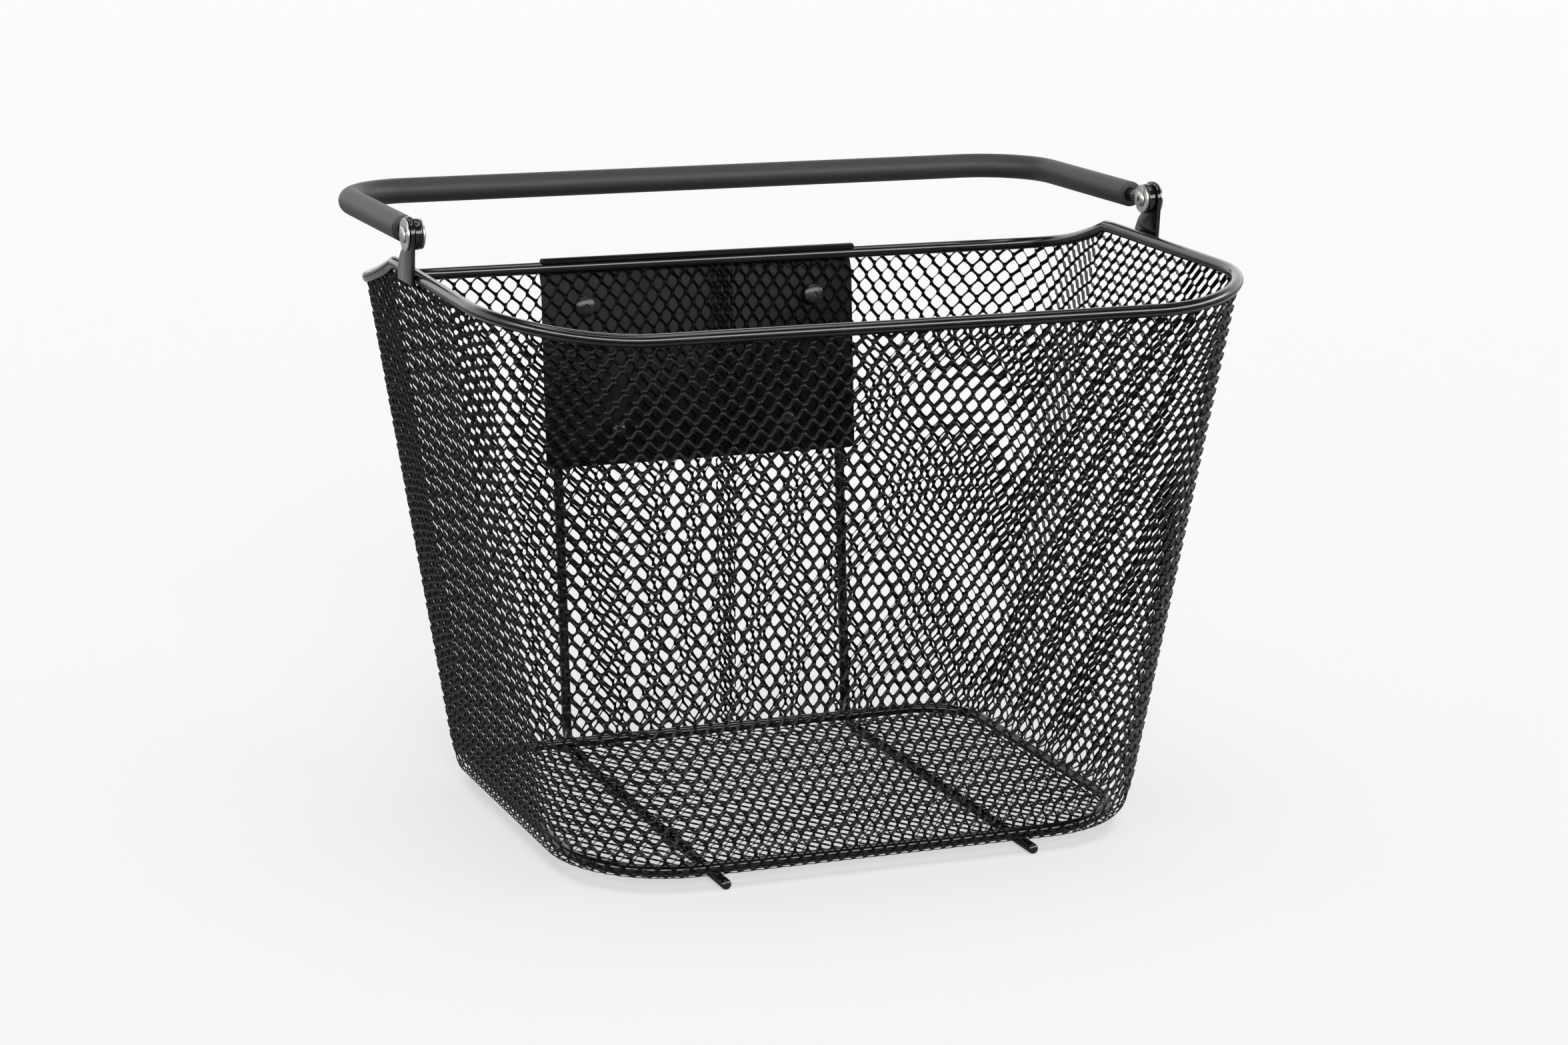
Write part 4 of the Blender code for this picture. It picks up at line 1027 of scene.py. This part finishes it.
pivotPlace = Vector((0, -0.001125, 0.290467))
pivotBracket = dict(
    face=0.1883, thickness=0.002, topRadius=0.0084, aboveRim=0.0198, footFront=0.0062,
    footBack=0.0165, legBack=0.0135, shoulderBack=0.0108, shoulderDrop=0.0092, flare=0.005,
    edge=0.0004, steps=28,
)
pivotStack = dict(
    eyeThickness=0.0036, shank=0.005, head=0.0078, headHeight=0.0013, headEdge=0.0005,
    rollSteps=8,             # round the rolled inner end
    bore=0.0024, boreDepth=0.004, washerInner=0.0140, washerOuter=0.0152, washer=0.001,
    washerEdge=0.00025,
    cutter=0.02,             # length and sides of what cuts the holes
    cutterSides=32, steps=40,
)


def pivotAt(x):
    return Matrix.Translation(pivotPlace + Vector((x, 0, 0)))


def pivotHole(x):
    stack = pivotStack
    hole = prismShape(stack["shank"] / 2 + seat, stack["cutter"], stack["cutterSides"])
    return makeObject("hole", hole, pivotAt(x) @ quarterTurn("Y"))


def makePivots():
    spec, stack, wire = pivotBracket, pivotStack, form["rimWire"]
    eyeFace = spec["face"] - seat - stack["eyeThickness"]
    innerFace = eyeFace - seat - stack["washer"]
    outerFace = spec["face"] + spec["thickness"] + seat
    rivetFace = outerFace + stack["washer"] + seat
    foot = -spec["aboveRim"] - wire / 2
    outline = [(-spec["footFront"], foot), (spec["footBack"], foot),
               (spec["footBack"], foot + wire), (spec["legBack"], foot + wire + spec["flare"]),
               (spec["shoulderBack"], -spec["shoulderDrop"])]
    outline += arc(spec["topRadius"], -pi / 4, pi, spec["steps"])
    for side, sign in bothSides:
        inner = spec["face"] if sign > 0 else -spec["face"] - spec["thickness"]
        bracket = makeObject("handle_ear_" + side, plateShape(outline, spec["thickness"]),
                             pivotAt(inner) @ quarterTurn("Z") @ quarterTurn("X"))
        softenEdges(bracket, spec["edge"], 2)
        combine(bracket, [pivotHole(sign * spec["face"])], "DIFFERENCE")
        dress(bracket, 40, "glossCoat", "handle_bracket_" + side)
        for name, wide, face in (("inner", stack["washerInner"], innerFace),
                                 ("outer", stack["washerOuter"], outerFace)):
            ending = f"washer_{name}_{side}"
            ring = makeObject("flat_" + ending, turnedShape(washerProfile(wide), stack["steps"]),
                              pivotAt(sign * face) @ quarterTurn("Y", sign))
            dress(ring, 35, "zincPlate", "pivot_" + ending)
        profile = rivetProfile(rivetFace - (innerFace - seat))
        rivet = makeObject("tube_rivet_" + side, turnedShape(profile, stack["steps"]),
                           pivotAt(sign * rivetFace) @ quarterTurn("Y", sign))
        dress(rivet, 35, "zincPlate", "pivot_rivet_" + side)


def washerProfile(wide):
    hole = pivotStack["shank"] / 2 + seat
    thick, edge = pivotStack["washer"], pivotStack["washerEdge"]
    points = [(hole, thick), (wide / 2 - edge, thick), (wide / 2, thick - edge), (wide / 2, edge),
              (wide / 2 - edge, 0), (hole, 0)]
    return points + points[:1]


def rivetProfile(length):
    stack = pivotStack
    head, half, bore = stack["head"] / 2, stack["shank"] / 2, stack["bore"] / 2
    points = domeProfile(head, stack["headHeight"], stack["headEdge"])
    points += [(head, 0), (half, 0), (half, -length), (head, -length)]
    for out, down in arc(1, 0, quarter, stack["rollSteps"])[1:]:
        points.append((bore + (head - bore) * out, -length - stack["headHeight"] * down))
    end = -length - stack["headHeight"] + stack["boreDepth"]
    return points + [(bore, end), (0, end)]


handleBow = dict(
    reach=0.146, bend=0.036, wire=0.006, eyeCentre=0.1862, eye=0.0145, eyeSides=40, neck=0.0085,
    neckThick=0.0034,        # a little under the eye's thickness
    neckFrom=0.0050, neckTo=0.0175, neckShares=(0.2, 0.45, 0.75, 1.0), bendSteps=20, sides=18,
    edge=0.0007,
)


def bowPoints(start, steps):
    reach, radius, across = handleBow["reach"], handleBow["bend"], handleBow["eyeCentre"]
    half = [(across, start)]
    half += [(across - radius + x, reach - radius + y) for x, y in arc(radius, 0, quarter, steps)]
    whole = half + [(-x, y) for x, y in reversed(half)]
    return [pivotPlace + Vector((x, y, 0)) for x, y in whole]


def makeHandle():
    # the wire's ends are pressed flat to eyes, with a short taper into the round
    spec, wire = handleBow, handleBow["wire"]
    shape = tubeAlong("bow", bowPoints(spec["neckTo"], spec["bendSteps"]), wire, spec["sides"])
    ends = endsOf(shape)
    rings = [list(face.edges) for face in ends]
    bmesh.ops.delete(shape, geom=ends, context="FACES_ONLY")
    for ring in rings:
        for share in spec["neckShares"]:
            raised = bmesh.ops.extrude_edge_only(shape, edges=ring)
            ring = only(bmesh.types.BMEdge, raised)
            tall = 1 + (spec["neck"] / wire - 1) * share
            thin = 1 + (spec["neckThick"] / wire - 1) * share
            reach = spec["neckTo"] - (spec["neckTo"] - spec["neckFrom"]) * share
            setRing(only(bmesh.types.BMVert, raised), pivotPlace.y + reach, tall, thin, wire / 2)
        bmesh.ops.holes_fill(shape, edges=ring, sides=0)
    bmesh.ops.recalc_face_normals(shape, faces=shape.faces[:])
    bow = makeObject("bent_handle_wire", shape)
    eyes = []
    for _, sign in bothSides:
        eye = prismShape(spec["eye"] / 2, pivotStack["eyeThickness"], spec["eyeSides"])
        eyes.append(makeObject("eye", eye, pivotAt(sign * spec["eyeCentre"]) @ quarterTurn("Y")))
        softenEdges(eyes[-1], spec["edge"], 3)
    combine(bow, eyes, "UNION")
    combine(bow, [pivotHole(sign * spec["eyeCentre"]) for _, sign in bothSides], "DIFFERENCE")
    dress(bow, 40, "glossCoat", "handle_rod", "handle")


def setRing(verts, place, tall, thin, radius):
    # a ring about the arm is moved along it and set to an upright oval
    middle = sum((vert.co for vert in verts), Vector()) / len(verts)
    for vert in verts:
        away = vert.co - middle
        angle = atan2(away.z, away.x)
        vert.co = (middle.x + radius * thin * cos(angle), place,
                   middle.z + radius * tall * sin(angle))


foamSleeve = dict(
    start=0.0180, diameter=0.0125, edge=0.0008,
    bulge=0.4,               # of an end, as a share of its edge
    clearance=0.0003, holeDepth=0.004, sides=28, steps=26,
)


def makeGrip():
    # a foam tube pushed on to the bow, with rounded ends
    spec = foamSleeve
    points = bowPoints(spec["start"], spec["steps"])
    shape = tubeAlong("sleeve", points, spec["diameter"], spec["sides"])
    wall = (spec["diameter"] - handleBow["wire"]) / 2 - spec["edge"] - spec["clearance"]
    for face in endsOf(shape):
        bmesh.ops.inset_individual(shape, faces=[face], thickness=spec["edge"])
        for vert in face.verts:
            vert.co.y -= spec["edge"] * spec["bulge"]
        bmesh.ops.inset_individual(shape, faces=[face], thickness=wall)
        inward = bmesh.ops.extrude_discrete_faces(shape, faces=[face])["faces"][0]
        for vert in inward.verts:
            vert.co.y += spec["holeDepth"]
    grip = makeObject("foam_grip_sleeve", shape)
    dress(grip, 50, "gripFoam", "foam_grip", "handle")


makeCamera()
makeSky()
for lampName, (strength, softness, turned) in studio["lamps"].items():
    makeLamp(lampName, strength, softness, turned)
makeFloor()
print("studio ready")
makeWall()
makeFloorSheet()
makeRim()
makeBaseRing()
makeRods()
print("wall, floor, rings and rods made")
makeBackPlate()
makeHookPlate()
makeBolts()
print("back plate, hook plate, bolts and nuts made")
makePivots()
makeHandle()
makeGrip()
print("pivots and handle made")

bpy.context.scene.view_settings.view_transform = "Standard"
